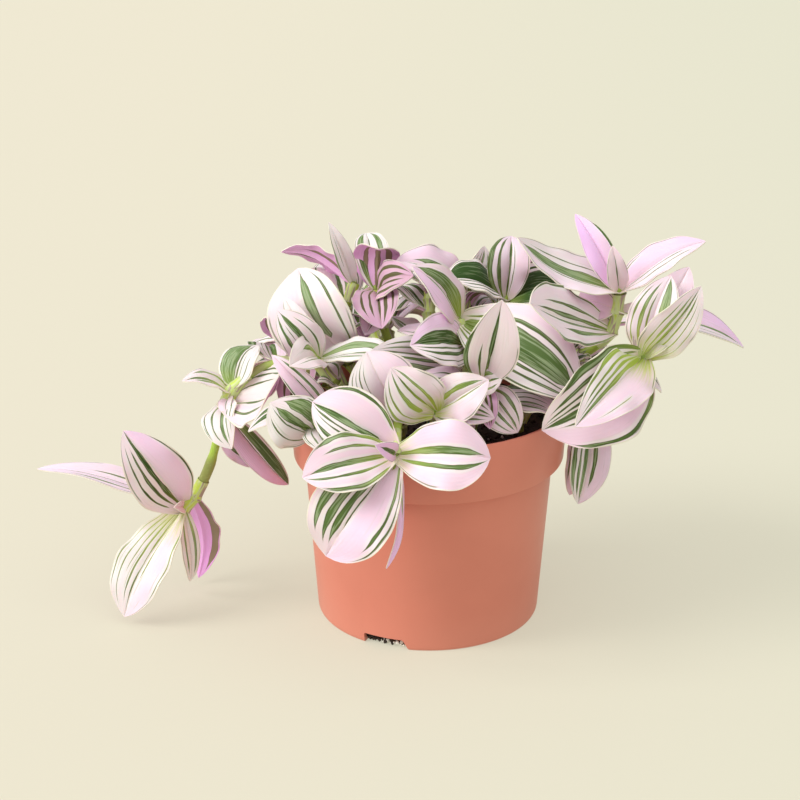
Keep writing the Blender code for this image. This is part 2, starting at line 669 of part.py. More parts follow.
def leafy_stem(name, route, leaves, collection, finish):
    """One solid: the stem's tube with its leaves' roots sunk in it and fused to it."""
    obj = named_object(name, stem_mesh(name, route, collection), collection, finish)
    blades = bpy.data.collections.new(name + "_leaves")
    bpy.context.scene.collection.children.link(blades)
    for k, leaf in enumerate(leaves):
        blade = mesh_of("blade", blade_bmesh(leaf, BLADE_THICKNESS))
        named_object(f"{name}_leaf_{k + 1}", blade, blades, finish)
    union = obj.modifiers.new("Leaves", "BOOLEAN")
    union.operation = "UNION"
    union.operand_type = "COLLECTION"
    union.collection = blades
    union.solver = UNION_SOLVER
    graph = bpy.context.evaluated_depsgraph_get()
    joined = bpy.data.meshes.new_from_object(obj.evaluated_get(graph))
    obj.modifiers.clear()
    obj.data = joined
    for blade in list(blades.objects):
        bpy.data.objects.remove(blade)
    bpy.data.collections.remove(blades)
    bm = bmesh.new()
    bm.from_mesh(joined)
    keep_largest_shell(bm)
    merge_flat_faces(bm)
    bm.to_mesh(joined)
    bm.free()


def main():
    for obj in list(bpy.data.objects):
        bpy.data.objects.remove(obj)
    scene = bpy.context.scene
    parts = bpy.data.collections.new("potted_tradescantia")
    helpers = bpy.data.collections.new("cutters")
    scene.collection.children.link(parts)
    scene.collection.children.link(helpers)
    helpers.hide_render = True
    laid = lay_out()
    foliage = material("striped_foliage", FOLIAGE_COLOUR, 0.4)
    for name, (route, leaves) in laid.items():
        leafy_stem(name, route, leaves, parts, foliage)
    pot(parts, helpers)
    soil([route[0].xy for route, _ in laid.values()], parts, helpers)


if __name__ == "__main__":
    main()
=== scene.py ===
import json
import math
import random

import bmesh
import bpy
from mathutils import Matrix, Vector, noise
from mathutils.bvhtree import BVHTree

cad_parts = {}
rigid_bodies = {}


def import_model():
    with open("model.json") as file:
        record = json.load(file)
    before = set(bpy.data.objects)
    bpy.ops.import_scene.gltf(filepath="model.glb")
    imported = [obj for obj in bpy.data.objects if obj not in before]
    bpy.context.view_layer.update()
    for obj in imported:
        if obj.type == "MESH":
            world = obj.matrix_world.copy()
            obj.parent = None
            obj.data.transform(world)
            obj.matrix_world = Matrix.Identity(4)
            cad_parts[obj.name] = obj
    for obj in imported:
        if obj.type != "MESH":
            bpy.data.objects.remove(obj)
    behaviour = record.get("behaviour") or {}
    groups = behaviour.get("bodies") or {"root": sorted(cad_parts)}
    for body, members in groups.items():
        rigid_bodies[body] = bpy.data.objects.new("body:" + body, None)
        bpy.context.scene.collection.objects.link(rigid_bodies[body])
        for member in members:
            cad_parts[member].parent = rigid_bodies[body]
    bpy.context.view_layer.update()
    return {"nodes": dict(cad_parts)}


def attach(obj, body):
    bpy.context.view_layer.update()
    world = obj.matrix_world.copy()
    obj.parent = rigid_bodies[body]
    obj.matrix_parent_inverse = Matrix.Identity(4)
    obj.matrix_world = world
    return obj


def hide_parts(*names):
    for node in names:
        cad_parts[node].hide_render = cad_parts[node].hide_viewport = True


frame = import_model()
print("frame loaded with", len(frame["nodes"]), "nodes")

mm = 0.001
smallGap = 0.001  # points closer than this, in millimetres, are merged
up = Vector((0, 0, 1))


# Camera, floor and light

def linear(colour):
    channels = [int(colour[k:k + 2], 16) / 255 for k in (1, 3, 5)]
    return tuple(c / 12.92 if c <= 0.04045 else ((c + 0.055) / 1.055) ** 2.4 for c in channels) + (1,)


studio = {
    "cameraPlace": (-0.0124, -0.8315, 0.4158),
    "cameraPitch": 68.95,  # degrees from looking straight down
    "lens": 93.2, "sensorWidth": 36, "farthest": 50,
    "floorSize": 6.0, "floorSides": 64, "floorRoughness": 0.9, "floorSpecular": 0.1,
    "shadeAcross": (-0.3, 0.5),  # from where to where the floor turns to its second colour
    "floorColour": linear("#F0EAD4"), "floorShade": linear("#E8E7D1"),  # as they look when lit
    "floorGlow": 0.54,  # share of the floor's brightness that shadows can't take away
    "floorLit": 0.343,  # its own colour's share, under this light
    "skyColour": linear("#F8F7F4"), "skyStrength": 0.68,
    # name: (heading it comes from, elevation, strength, width in degrees, colour)
    "suns": {
        "keyWindow": (-162.0, 36.0, 2.25, 32.0, linear("#FFFCFC")),
        "frontFill": (-80.0, 66.0, 0.85, 70.0, linear("#FFFCF8")),
    },
}


def headingVector(heading, lift=0.0):  # a unit vector; degrees round +Z from +X, then upwards
    a, b = math.radians(heading), math.radians(lift)
    return Vector((math.cos(a) * math.cos(b), math.sin(a) * math.cos(b), math.sin(b)))


def addNode(tree, kind, inputs=None, **settings):
    node = tree.nodes.new(kind)
    for name, value in settings.items():
        setattr(node, name, value)
    for socket, value in (inputs or {}).items():
        if isinstance(value, bpy.types.NodeSocket):
            tree.links.new(value, node.inputs[socket])
        else:
            node.inputs[socket].default_value = value
    return node


def maths(tree, operation, first, second=0.0, clamp=False):
    node = addNode(tree, "ShaderNodeMath", {0: first, 1: second}, operation=operation, use_clamp=clamp)
    return node.outputs[0]


def times(tree, first, second, clamp=False):
    return maths(tree, "MULTIPLY", first, second, clamp)


def plus(tree, first, second, clamp=False):
    return maths(tree, "ADD", first, second, clamp)


def minus(tree, first, second, clamp=False):
    return maths(tree, "SUBTRACT", first, second, clamp)


def objectPlace(tree):
    return addNode(tree, "ShaderNodeTexCoord").outputs["Object"]


def placedNoise(tree, place, scale, detail):
    inputs = {"Vector": place, "Scale": scale, "Detail": detail}
    return addNode(tree, "ShaderNodeTexNoise", inputs).outputs[0]


def ramp(tree, value, low, high, toLow=0.0, toHigh=1.0):
    inputs = {"Value": value, "From Min": low, "From Max": high, "To Min": toLow, "To Max": toHigh}
    return addNode(tree, "ShaderNodeMapRange", inputs, interpolation_type="SMOOTHSTEP").outputs[0]


def mixColour(tree, factor, first, second, blend="MIX"):
    inputs = {0: factor, 6: first, 7: second}
    return addNode(tree, "ShaderNodeMix", inputs, data_type="RGBA", blend_type=blend).outputs[2]


def newMaterial(name, roughness=0.5):
    material = bpy.data.materials.new(name)
    material.use_nodes = True
    shader = material.node_tree.nodes["Principled BSDF"]
    shader.inputs["Roughness"].default_value = roughness
    shader.inputs["Metallic"].default_value = 0
    return material, material.node_tree, shader


def paint(tree, shader, colour, roughness=None):
    tree.links.new(colour, shader.inputs["Base Color"])
    if roughness is not None:
        tree.links.new(roughness, shader.inputs["Roughness"])


def addBump(tree, shader, height, strength, distance):
    bump = addNode(tree, "ShaderNodeBump", {"Height": height, "Strength": strength, "Distance": distance})
    tree.links.new(bump.outputs[0], shader.inputs["Normal"])


def buildStudio():
    scene = bpy.context.scene
    scene.view_settings.view_transform = "Standard"
    camera = bpy.data.cameras.new("camera")
    camera.lens = studio["lens"]
    camera.sensor_width = studio["sensorWidth"]
    camera.clip_end = studio["farthest"]
    cameraObject = bpy.data.objects.new("camera", camera)
    cameraObject.location = studio["cameraPlace"]
    cameraObject.rotation_euler = (math.radians(studio["cameraPitch"]), 0, 0)
    scene.collection.objects.link(cameraObject)
    scene.camera = cameraObject

    world = bpy.data.worlds.new("paleRoom")
    scene.world = world
    world.use_nodes = True
    background = world.node_tree.nodes["Background"]
    background.inputs["Color"].default_value = studio["skyColour"]
    background.inputs["Strength"].default_value = studio["skyStrength"]

    for name, (heading, elevation, strength, width, colour) in studio["suns"].items():
        lamp = bpy.data.lights.new(name, "SUN")
        lamp.energy = strength
        lamp.angle = math.radians(width)
        lamp.color = colour[:3]
        lampObject = bpy.data.objects.new(name, lamp)
        lampObject.rotation_euler = (-headingVector(heading, elevation)).to_track_quat("-Z", "Y").to_euler()
        scene.collection.objects.link(lampObject)

    bm = bmesh.new()
    bmesh.ops.create_circle(bm, cap_ends=True, segments=studio["floorSides"], radius=studio["floorSize"])
    mesh = bpy.data.meshes.new("studioFloor")
    bm.to_mesh(mesh)
    bm.free()
    floor = bpy.data.objects.new("studioFloor", mesh)
    scene.collection.objects.link(floor)
    material, tree, shader = newMaterial("floorPaper", studio["floorRoughness"])
    shader.inputs["Specular IOR Level"].default_value = studio["floorSpecular"]
    place = objectPlace(tree)
    sideways = addNode(tree, "ShaderNodeSeparateXYZ", {0: place}).outputs["X"]
    towardsRight = ramp(tree, sideways, *studio["shadeAcross"])
    colour = mixColour(tree, towardsRight, studio["floorColour"], studio["floorShade"])
    lit = mixColour(tree, 1.0, colour, (studio["floorLit"],) * 3 + (1,), "MULTIPLY")
    paint(tree, shader, lit)
    tree.links.new(colour, shader.inputs["Emission Color"])
    shader.inputs["Emission Strength"].default_value = studio["floorGlow"]
    mesh.materials.append(material)


buildStudio()
print("studio ready")


# Layout: the same stems and leaves as the solids, in millimetres, with each leaf's markings

# The last setting darkens the whole leaf: partly its own dusky plum tone, partly painted shade on leaves that
# lie in shadow
def marks(stripes, pink=(0.4, 0.4), lilac=(0, 0), blush=0.0, depth=0.5, fine=0.25, wave=0.9, twist=0.0,
          fresh=0.35, fold=0.25, duskAndShade=0.0):
    return {
        "stripes": stripes, "pink": pink, "lilac": lilac, "blush": blush, "depth": depth, "fine": fine,
        "wave": wave, "twist": twist, "fresh": fresh, "fold": fold, "duskAndShade": duskAndShade,
    }


# A stripe: its middle across the blade (0 left, 1 right, tip up), half its width, start, end.
# Then pink and lilac, each for the left and the right half, blush, depth of the greens, fine and wave.
leafLooks = {
    "pendant": marks(((0.95, 0.01, 0.1, 0.9), (0.83, 0.012, 0.05, 1.0), (0.72, 0.01, 0.1, 0.75),
        (0.63, 0.015, 0, 0.95), (0.53, 0.012, 0, 1.05), (0.44, 0.012, 0, 0.8), (0.05, 0.014, 0.2, 0.9)),
        (0.85, 0.3), depth=0.3, fine=0.7, fresh=0.9),
    "salmonFan": marks(((0.44, 0.04, 0, 1.1), (0.31, 0.022, 0.08, 0.9), (0.18, 0.016, 0.12, 0.95),
        (0.97, 0.012, 0.1, 0.95)), (0.5, 0.9), (0, 0.35), 0.05, 0.85, 0.1),
    "lilacTongue": marks(((0.88, 0.03, 0, 0.5), (0.64, 0.02, 0.15, 0.7), (0.4, 0.025, 0, 0.9),
        (0.15, 0.02, 0, 0.85)), (0.3, 0.4), (0.35, 0.2), 0, 0.35),
    "paleStrip": marks(((0.25, 0.06, 0, 0.9), (0.75, 0.04, 0, 0.9)), (0.1, 0.2), depth=0.1, fresh=0.5),
    "magentaBack": marks(((0.85, 0.11, 0, 0.95),), (0.9, 0.9), (0.9, 1.0), 0, 0.5, 0.1),
    "youngRoll": marks((), (0.9, 0.9), (0, 0), 0.6, 0.5, 0),
    "creamShell": marks(((0.12, 0.014, 0, 0.9), (0.2, 0.016, 0, 0.95), (0.3, 0.012, 0, 0.8),
        (0.57, 0.024, 0, 1.05), (0.8, 0.026, 0, 0.8)), (0.15, 0.7), (0, 0), 0.35, 0.5, 0.1),
    "greenHalf": marks(((0.24, 0.17, 0, 1.0), (0.47, 0.018, 0, 1.05), (0.62, 0.012, 0.1, 0.8),
        (0.8, 0.012, 0.1, 0.7)), (0.3, 0.15), depth=0.3, fine=0.3),
    "smallOlive": marks(((0.25, 0.055, 0.05, 0.85), (0.52, 0.045, 0, 1.0), (0.8, 0.035, 0.05, 0.85)),
        (0.5, 0.3), (0, 0), 0.2, 0.5, 0.1, fresh=0.8),
    "palePoint": marks(((0.5, 0.03, 0.1, 0.9),), (0.5, 0.7), (0, 0), 0.2, 0.4, 0.1),
    "paleStriped": marks(((0.5, 0.06, 0, 1.0), (0.3, 0.02, 0, 0.95), (0.15, 0.016, 0.1, 0.85),
        (0.74, 0.022, 0, 0.95), (0.92, 0.014, 0.1, 0.85)), (0.3, 0.2), depth=0.1),
    "oliveLilac": marks(((0.2, 0.06, 0, 0.9), (0.42, 0.05, 0, 1.0), (0.7, 0.04, 0, 0.9)), (0.5, 0.7),
        (0.2, 0.6), 0, 0.6, duskAndShade=0.4),
    "lilacOlive": marks(((0.26, 0.16, 0, 1.1), (0.5, 0.014, 0, 0.9)), (0.5, 0.9), (0.2, 0.9), 0.1, 0.8, 0.1,
        duskAndShade=0.3),
    "rosetteSpear": marks(((0.5, 0.075, 0, 1.02), (0.2, 0.04, 0, 1.0), (0.76, 0.018, 0, 0.85),
        (0.34, 0.012, 0.2, 0.85)), (0.45, 0.6), (0, 0), 0.1, 0.5),
    "paleSpear": marks(((0.05, 0.03, 0.1, 1.0), (0.3, 0.012, 0.3, 0.9)), (0.1, 0.3), (0, 0), 0, 0.3),
    "curledCream": marks(((0.7, 0.07, 0, 0.7), (0.32, 0.018, 0.2, 0.95), (0.42, 0.014, 0.2, 0.8)),
        (0.45, 0.25), (0, 0), 0.4, 0.4, wave=1.2, fresh=0.8),
    "silverArch": marks(((0.28, 0.09, 0, 0.95), (0.55, 0.07, 0, 1.02), (0.8, 0.03, 0, 0.95)), (0.2, 0.25),
        depth=0.0, fine=0.4),
    "greenishPale": marks(((0.8, 0.11, 0, 0.9), (0.52, 0.07, 0, 0.95), (0.4, 0.016, 0, 1.0),
        (0.2, 0.014, 0, 0.95)), (0.1, 0.3), (0, 0.1), 0, 0.35, 0.4),
    "salmonSpear": marks(((0.74, 0.05, 0, 0.95), (0.52, 0.018, 0.15, 0.75), (0.04, 0.03, 0, 0.8)),
        (0.95, 0.7), (0.1, 0), 0.35, 0.6, 0.1),
    "bigPale": marks(((0.58, 0.065, 0.3, 1.0), (0.87, 0.016, 0, 1.0)), (0.5, 0.5), depth=0.2, fine=0.05,
        wave=0.4),
    "magentaTip": marks(((0.7, 0.06, 0, 0.95), (0.3, 0.04, 0, 0.8)), (0.8, 0.9), (0.1, 0.1), 0, 0.5),
    "plumBack": marks(((0.25, 0.07, 0, 1.0), (0.5, 0.05, 0, 0.95), (0.74, 0.04, 0, 0.9)), (0.8, 0.9),
        (0.1, 0.3), 0, 0.7, 0.1, duskAndShade=1.0),
    "plumFold": marks(((0.2, 0.05, 0, 1.0), (0.42, 0.045, 0, 0.95), (0.64, 0.03, 0, 0.95),
        (0.85, 0.03, 0, 0.9)), (0.9, 0.8), (0.35, 0.1), 0.1, 0.7, 0.1, duskAndShade=0.9),
    "mauveStriped": marks(((0.14, 0.025, 0, 0.9), (0.32, 0.035, 0, 1.0), (0.48, 0.028, 0, 1.0),
        (0.66, 0.022, 0, 0.9), (0.82, 0.02, 0, 0.9)), (0.8, 0.9), (0.3, 0.3), 0, 0.85, 0.1, duskAndShade=0.9),
    "dustyPink": marks(((0.4, 0.025, 0, 1.0), (0.55, 0.018, 0, 0.9)), (0.6, 0.7), (0, 0.1), 0.1, 0.8,
        duskAndShade=0.5),
    "archingWhite": marks(((0.2, 0.09, 0, 1.0), (0.5, 0.02, 0, 0.9), (0.78, 0.06, 0, 1.0)), (0.15, 0.15),
        depth=0.4),
    "greyStripedPink": marks(((0.4, 0.022, 0, 0.95), (0.58, 0.045, 0, 0.85)), (0.7, 0.9), (0.1, 0.1), 0.1,
        0.5, 0.1),
    "shellArch": marks(((0.06, 0.06, 0, 1.0), (0.26, 0.035, 0, 1.0), (0.52, 0.03, 0, 1.0),
        (0.62, 0.012, 0, 0.9)), (0.1, 0.7), (0.3, 0), 0, 0.6, 0.1, duskAndShade=0.2),
    "magentaStriped": marks(((0.3, 0.05, 0, 1.0), (0.5, 0.05, 0, 1.0), (0.72, 0.05, 0, 1.0)), (0.9, 0.9),
        (1.0, 1.0), 0, 0.9, 0.1, duskAndShade=0.9),
    "broadBand": marks(((0.25, 0.02, 0, 1.0), (0.5, 0.165, 0, 0.98), (0.73, 0.018, 0, 1.05),
        (0.84, 0.022, 0, 1.0), (0.97, 0.012, 0.1, 0.85)), (0.55, 0.4), depth=0.55, fine=0.1),
    "foldedOlive": marks(((0.66, 0.12, 0, 1.0), (0.44, 0.03, 0, 0.9)), (0.8, 0.6), (0.4, 0), 0.1, 0.5,
        duskAndShade=0.15, fresh=0.6),
    "darkBandLeft": marks(((0.57, 0.11, 0.02, 1.0), (0.36, 0.02, 0, 1.05), (0.24, 0.03, 0, 1.0),
        (0.1, 0.014, 0, 0.95)), (0.5, 0.9), (0, 0.35), 0, 0.75),
    "silverStriped": marks(((0.2, 0.045, 0, 1.0), (0.38, 0.035, 0, 1.0), (0.52, 0.03, 0, 1.05),
        (0.67, 0.025, 0, 1.0), (0.82, 0.025, 0, 0.95)), (0.6, 0.2), depth=0.2, fine=0.4),
    "uprightPink": marks(((0.48, 0.034, 0, 1.0), (0.3, 0.018, 0.06, 0.62), (0.04, 0.04, 0, 0.8)),
        (0.5, 0.5), (0, 0), 0.15, 0.7, 0.1, 0.4),
    "fanLeft": marks(((0.05, 0.014, 0, 0.95), (0.16, 0.018, 0, 1.0), (0.35, 0.03, 0.2, 1.05),
        (0.5, 0.018, 0, 0.95), (0.66, 0.028, 0, 1.05)), (0.5, 0.6), depth=0.4, fresh=1.0),
    "fanRight": marks(((0.33, 0.045, 0, 1.0), (0.55, 0.016, 0, 1.05), (0.08, 0.012, 0, 0.6)), (0.5, 0.7),
        (0, 0), 0.1, 0.4, fresh=1.0),
    "shadedStriped": marks(((0.2, 0.035, 0, 0.95), (0.4, 0.035, 0, 1.0), (0.6, 0.035, 0, 1.0),
        (0.8, 0.03, 0, 0.95)), (0.5, 0.5), (0.1, 0.1), 0, 0.5, duskAndShade=0.3),
    "frontFanLeft": marks(((0.94, 0.034, 0, 0.85), (0.76, 0.02, 0, 0.8), (0.52, 0.05, 0.02, 0.98),
        (0.3, 0.026, 0.08, 1.05), (0.07, 0.03, 0.1, 0.9)), (0.8, 0.9), (0, 0), 0.15, 0.4, 0.1, fresh=0.6,
        fold=0.08),
    "frontFanTop": marks(((0.46, 0.058, 0.15, 1.08), (0.33, 0.022, 0.2, 1.05), (0.25, 0.014, 0.4, 0.95),
        (0.1, 0.045, 0.2, 0.9), (0.94, 0.03, 0.1, 0.9)), (0.6, 1.0), (0, 0), 0.15, 0.6, 0.05, fold=0.08),
    "frontFanRight": marks(((0.44, 0.045, 0, 0.98), (0.68, 0.03, 0.03, 1.05), (0.03, 0.025, 0, 0.4)),
        (1.0, 0.9), (0.1, 0), 0.1, 0.45, 0.05, fresh=0.6, fold=0.08),
    "frontPendant": marks(((0.86, 0.045, 0.05, 0.88), (0.71, 0.042, 0.08, 0.94), (0.59, 0.034, 0.05, 0.92),
        (0.5, 0.01, 0.1, 0.8), (0.12, 0.024, 0, 0.8), (0.04, 0.012, 0.1, 0.95)), (1.0, 0.6), (0.2, 0), 0.1,
        0.5, 0.1, fold=0.08),
    "foldedRibbon": marks(((0.3, 0.04, 0, 0.6), (0.7, 0.03, 0, 0.5)), (0.6, 0.6), (0.9, 0.9), 0, 0.4,
        twist=0.5, fresh=0.7),
    "youngMagenta": marks(((0.5, 0.12, 0.1, 0.9),), (1.0, 1.0), (0.8, 0.8), 0.1, 0.6, 0, duskAndShade=0.4),
    "tallPink": marks(((0.07, 0.012, 0, 0.95), (0.14, 0.01, 0, 0.95), (0.21, 0.012, 0, 1.0),
        (0.29, 0.01, 0.1, 0.95)), (0.2, 0.8), (0, 0), 0.1, 0.35, 0.1, 0.4),
    "pinkMargin": marks(((0.95, 0.05, 0, 0.9), (0.84, 0.012, 0.1, 0.8)), (0.55, 0.5), (0, 0), 0.1, 0.8,
        0.1),
    "pinkRim": marks(((0.93, 0.03, 0, 0.9), (0.1, 0.012, 0, 0.7)), (0.8, 0.7), (0, 0), 0.1, 0.5, 0.05),
    "lilacWing": marks(((0.62, 0.02, 0.1, 0.85), (0.78, 0.014, 0.05, 0.95), (0.1, 0.012, 0, 0.5)),
        (0.9, 0.6), (0.3, 0.1), 0.1, 0.4, 0.05),
    "archBand": marks(((0.5, 0.11, 0, 1.0), (0.72, 0.012, 0, 0.95), (0.33, 0.012, 0, 0.95)), (0.5, 0.3),
        (0.1, 0), 0, 0.2),
    "magentaUpright": marks(((0.96, 0.04, 0, 0.9),), (1.0, 0.9), (1.0, 0.3), 0, 0.7, 0),
    "shellStriped": marks(((0.97, 0.02, 0, 1.0), (0.7, 0.022, 0, 0.85), (0.56, 0.026, 0, 0.95),
        (0.42, 0.026, 0, 0.95), (0.24, 0.036, 0, 0.7), (0.03, 0.02, 0, 0.9)), (0.5, 0.6), depth=0.4,
        fine=0.1),
    "bigTongue": marks(((0.95, 0.045, 0, 0.8), (0.83, 0.028, 0.05, 0.95), (0.74, 0.016, 0.1, 1.05),
        (0.66, 0.018, 0.15, 1.05), (0.55, 0.05, 0.3, 1.08), (0.42, 0.014, 0.5, 0.95),
        (0.05, 0.034, 0, 0.9)), (1.0, 0.5), (0.1, 0), 0.05, 0.6, 0.1),
    "overTongue": marks(((0.95, 0.03, 0, 0.9), (0.8, 0.022, 0.05, 0.95), (0.7, 0.024, 0.05, 1.0),
        (0.59, 0.042, 0.03, 1.08), (0.2, 0.01, 0.5, 0.95)), (0.9, 0.45), (0.05, 0), 0.05, 0.45, 0.1,
        fresh=1.0),
    "risingStriped": marks(((0.12, 0.02, 0.05, 0.9), (0.28, 0.03, 0, 0.95), (0.4, 0.016, 0, 0.85),
        (0.68, 0.09, 0.4, 1.05)), (0.6, 0.4), (0.05, 0), 0.1, 0.3, fresh=0.8),
    "yellowFan": marks(((0.2, 0.016, 0, 0.9), (0.34, 0.024, 0, 0.98), (0.47, 0.036, 0.08, 1.05),
        (0.6, 0.018, 0, 1.0), (0.72, 0.014, 0, 0.95), (0.86, 0.012, 0.1, 0.9)), (0.6, 0.4), depth=0.25,
        fresh=1.0),
    "duskyMargin": marks(((0.93, 0.045, 0, 0.95), (0.8, 0.016, 0, 0.9)), (0.9, 0.9), (0.3, 0.1), 0.1, 0.8,
        0.1, duskAndShade=0.6),
    "lilacPoint": marks(((0.62, 0.07, 0, 1.0), (0.84, 0.012, 0, 0.9)), (0.7, 0.2), (0.6, 0.2), 0, 0.4),
    "hangingStriped": marks(((0.9, 0.05, 0, 0.95), (0.74, 0.03, 0, 1.0), (0.58, 0.055, 0, 1.02),
        (0.36, 0.034, 0, 0.85)), (0.5, 0.15), (0.3, 0), 0, 0.5),
    "brownPink": marks(((0.12, 0.04, 0, 1.0), (0.9, 0.03, 0, 0.9)), (0.9, 0.9), (0.1, 0.1), 0.5, 0.7, 0.2,
        duskAndShade=0.25),
    "darkHalf": marks(((0.68, 0.22, 0, 1.02), (0.34, 0.03, 0, 0.95), (0.2, 0.02, 0, 0.9),
        (0.08, 0.016, 0, 0.9)), (0.3, 0.6), (0, 0), 0.1, 1.0, 0.3),
    "darkFull": marks(((0.56, 0.34, 0, 1.02), (0.1, 0.025, 0, 1.0)), (0.4, 0.4), (0, 0), 0.2, 1.0, 0.1),
}

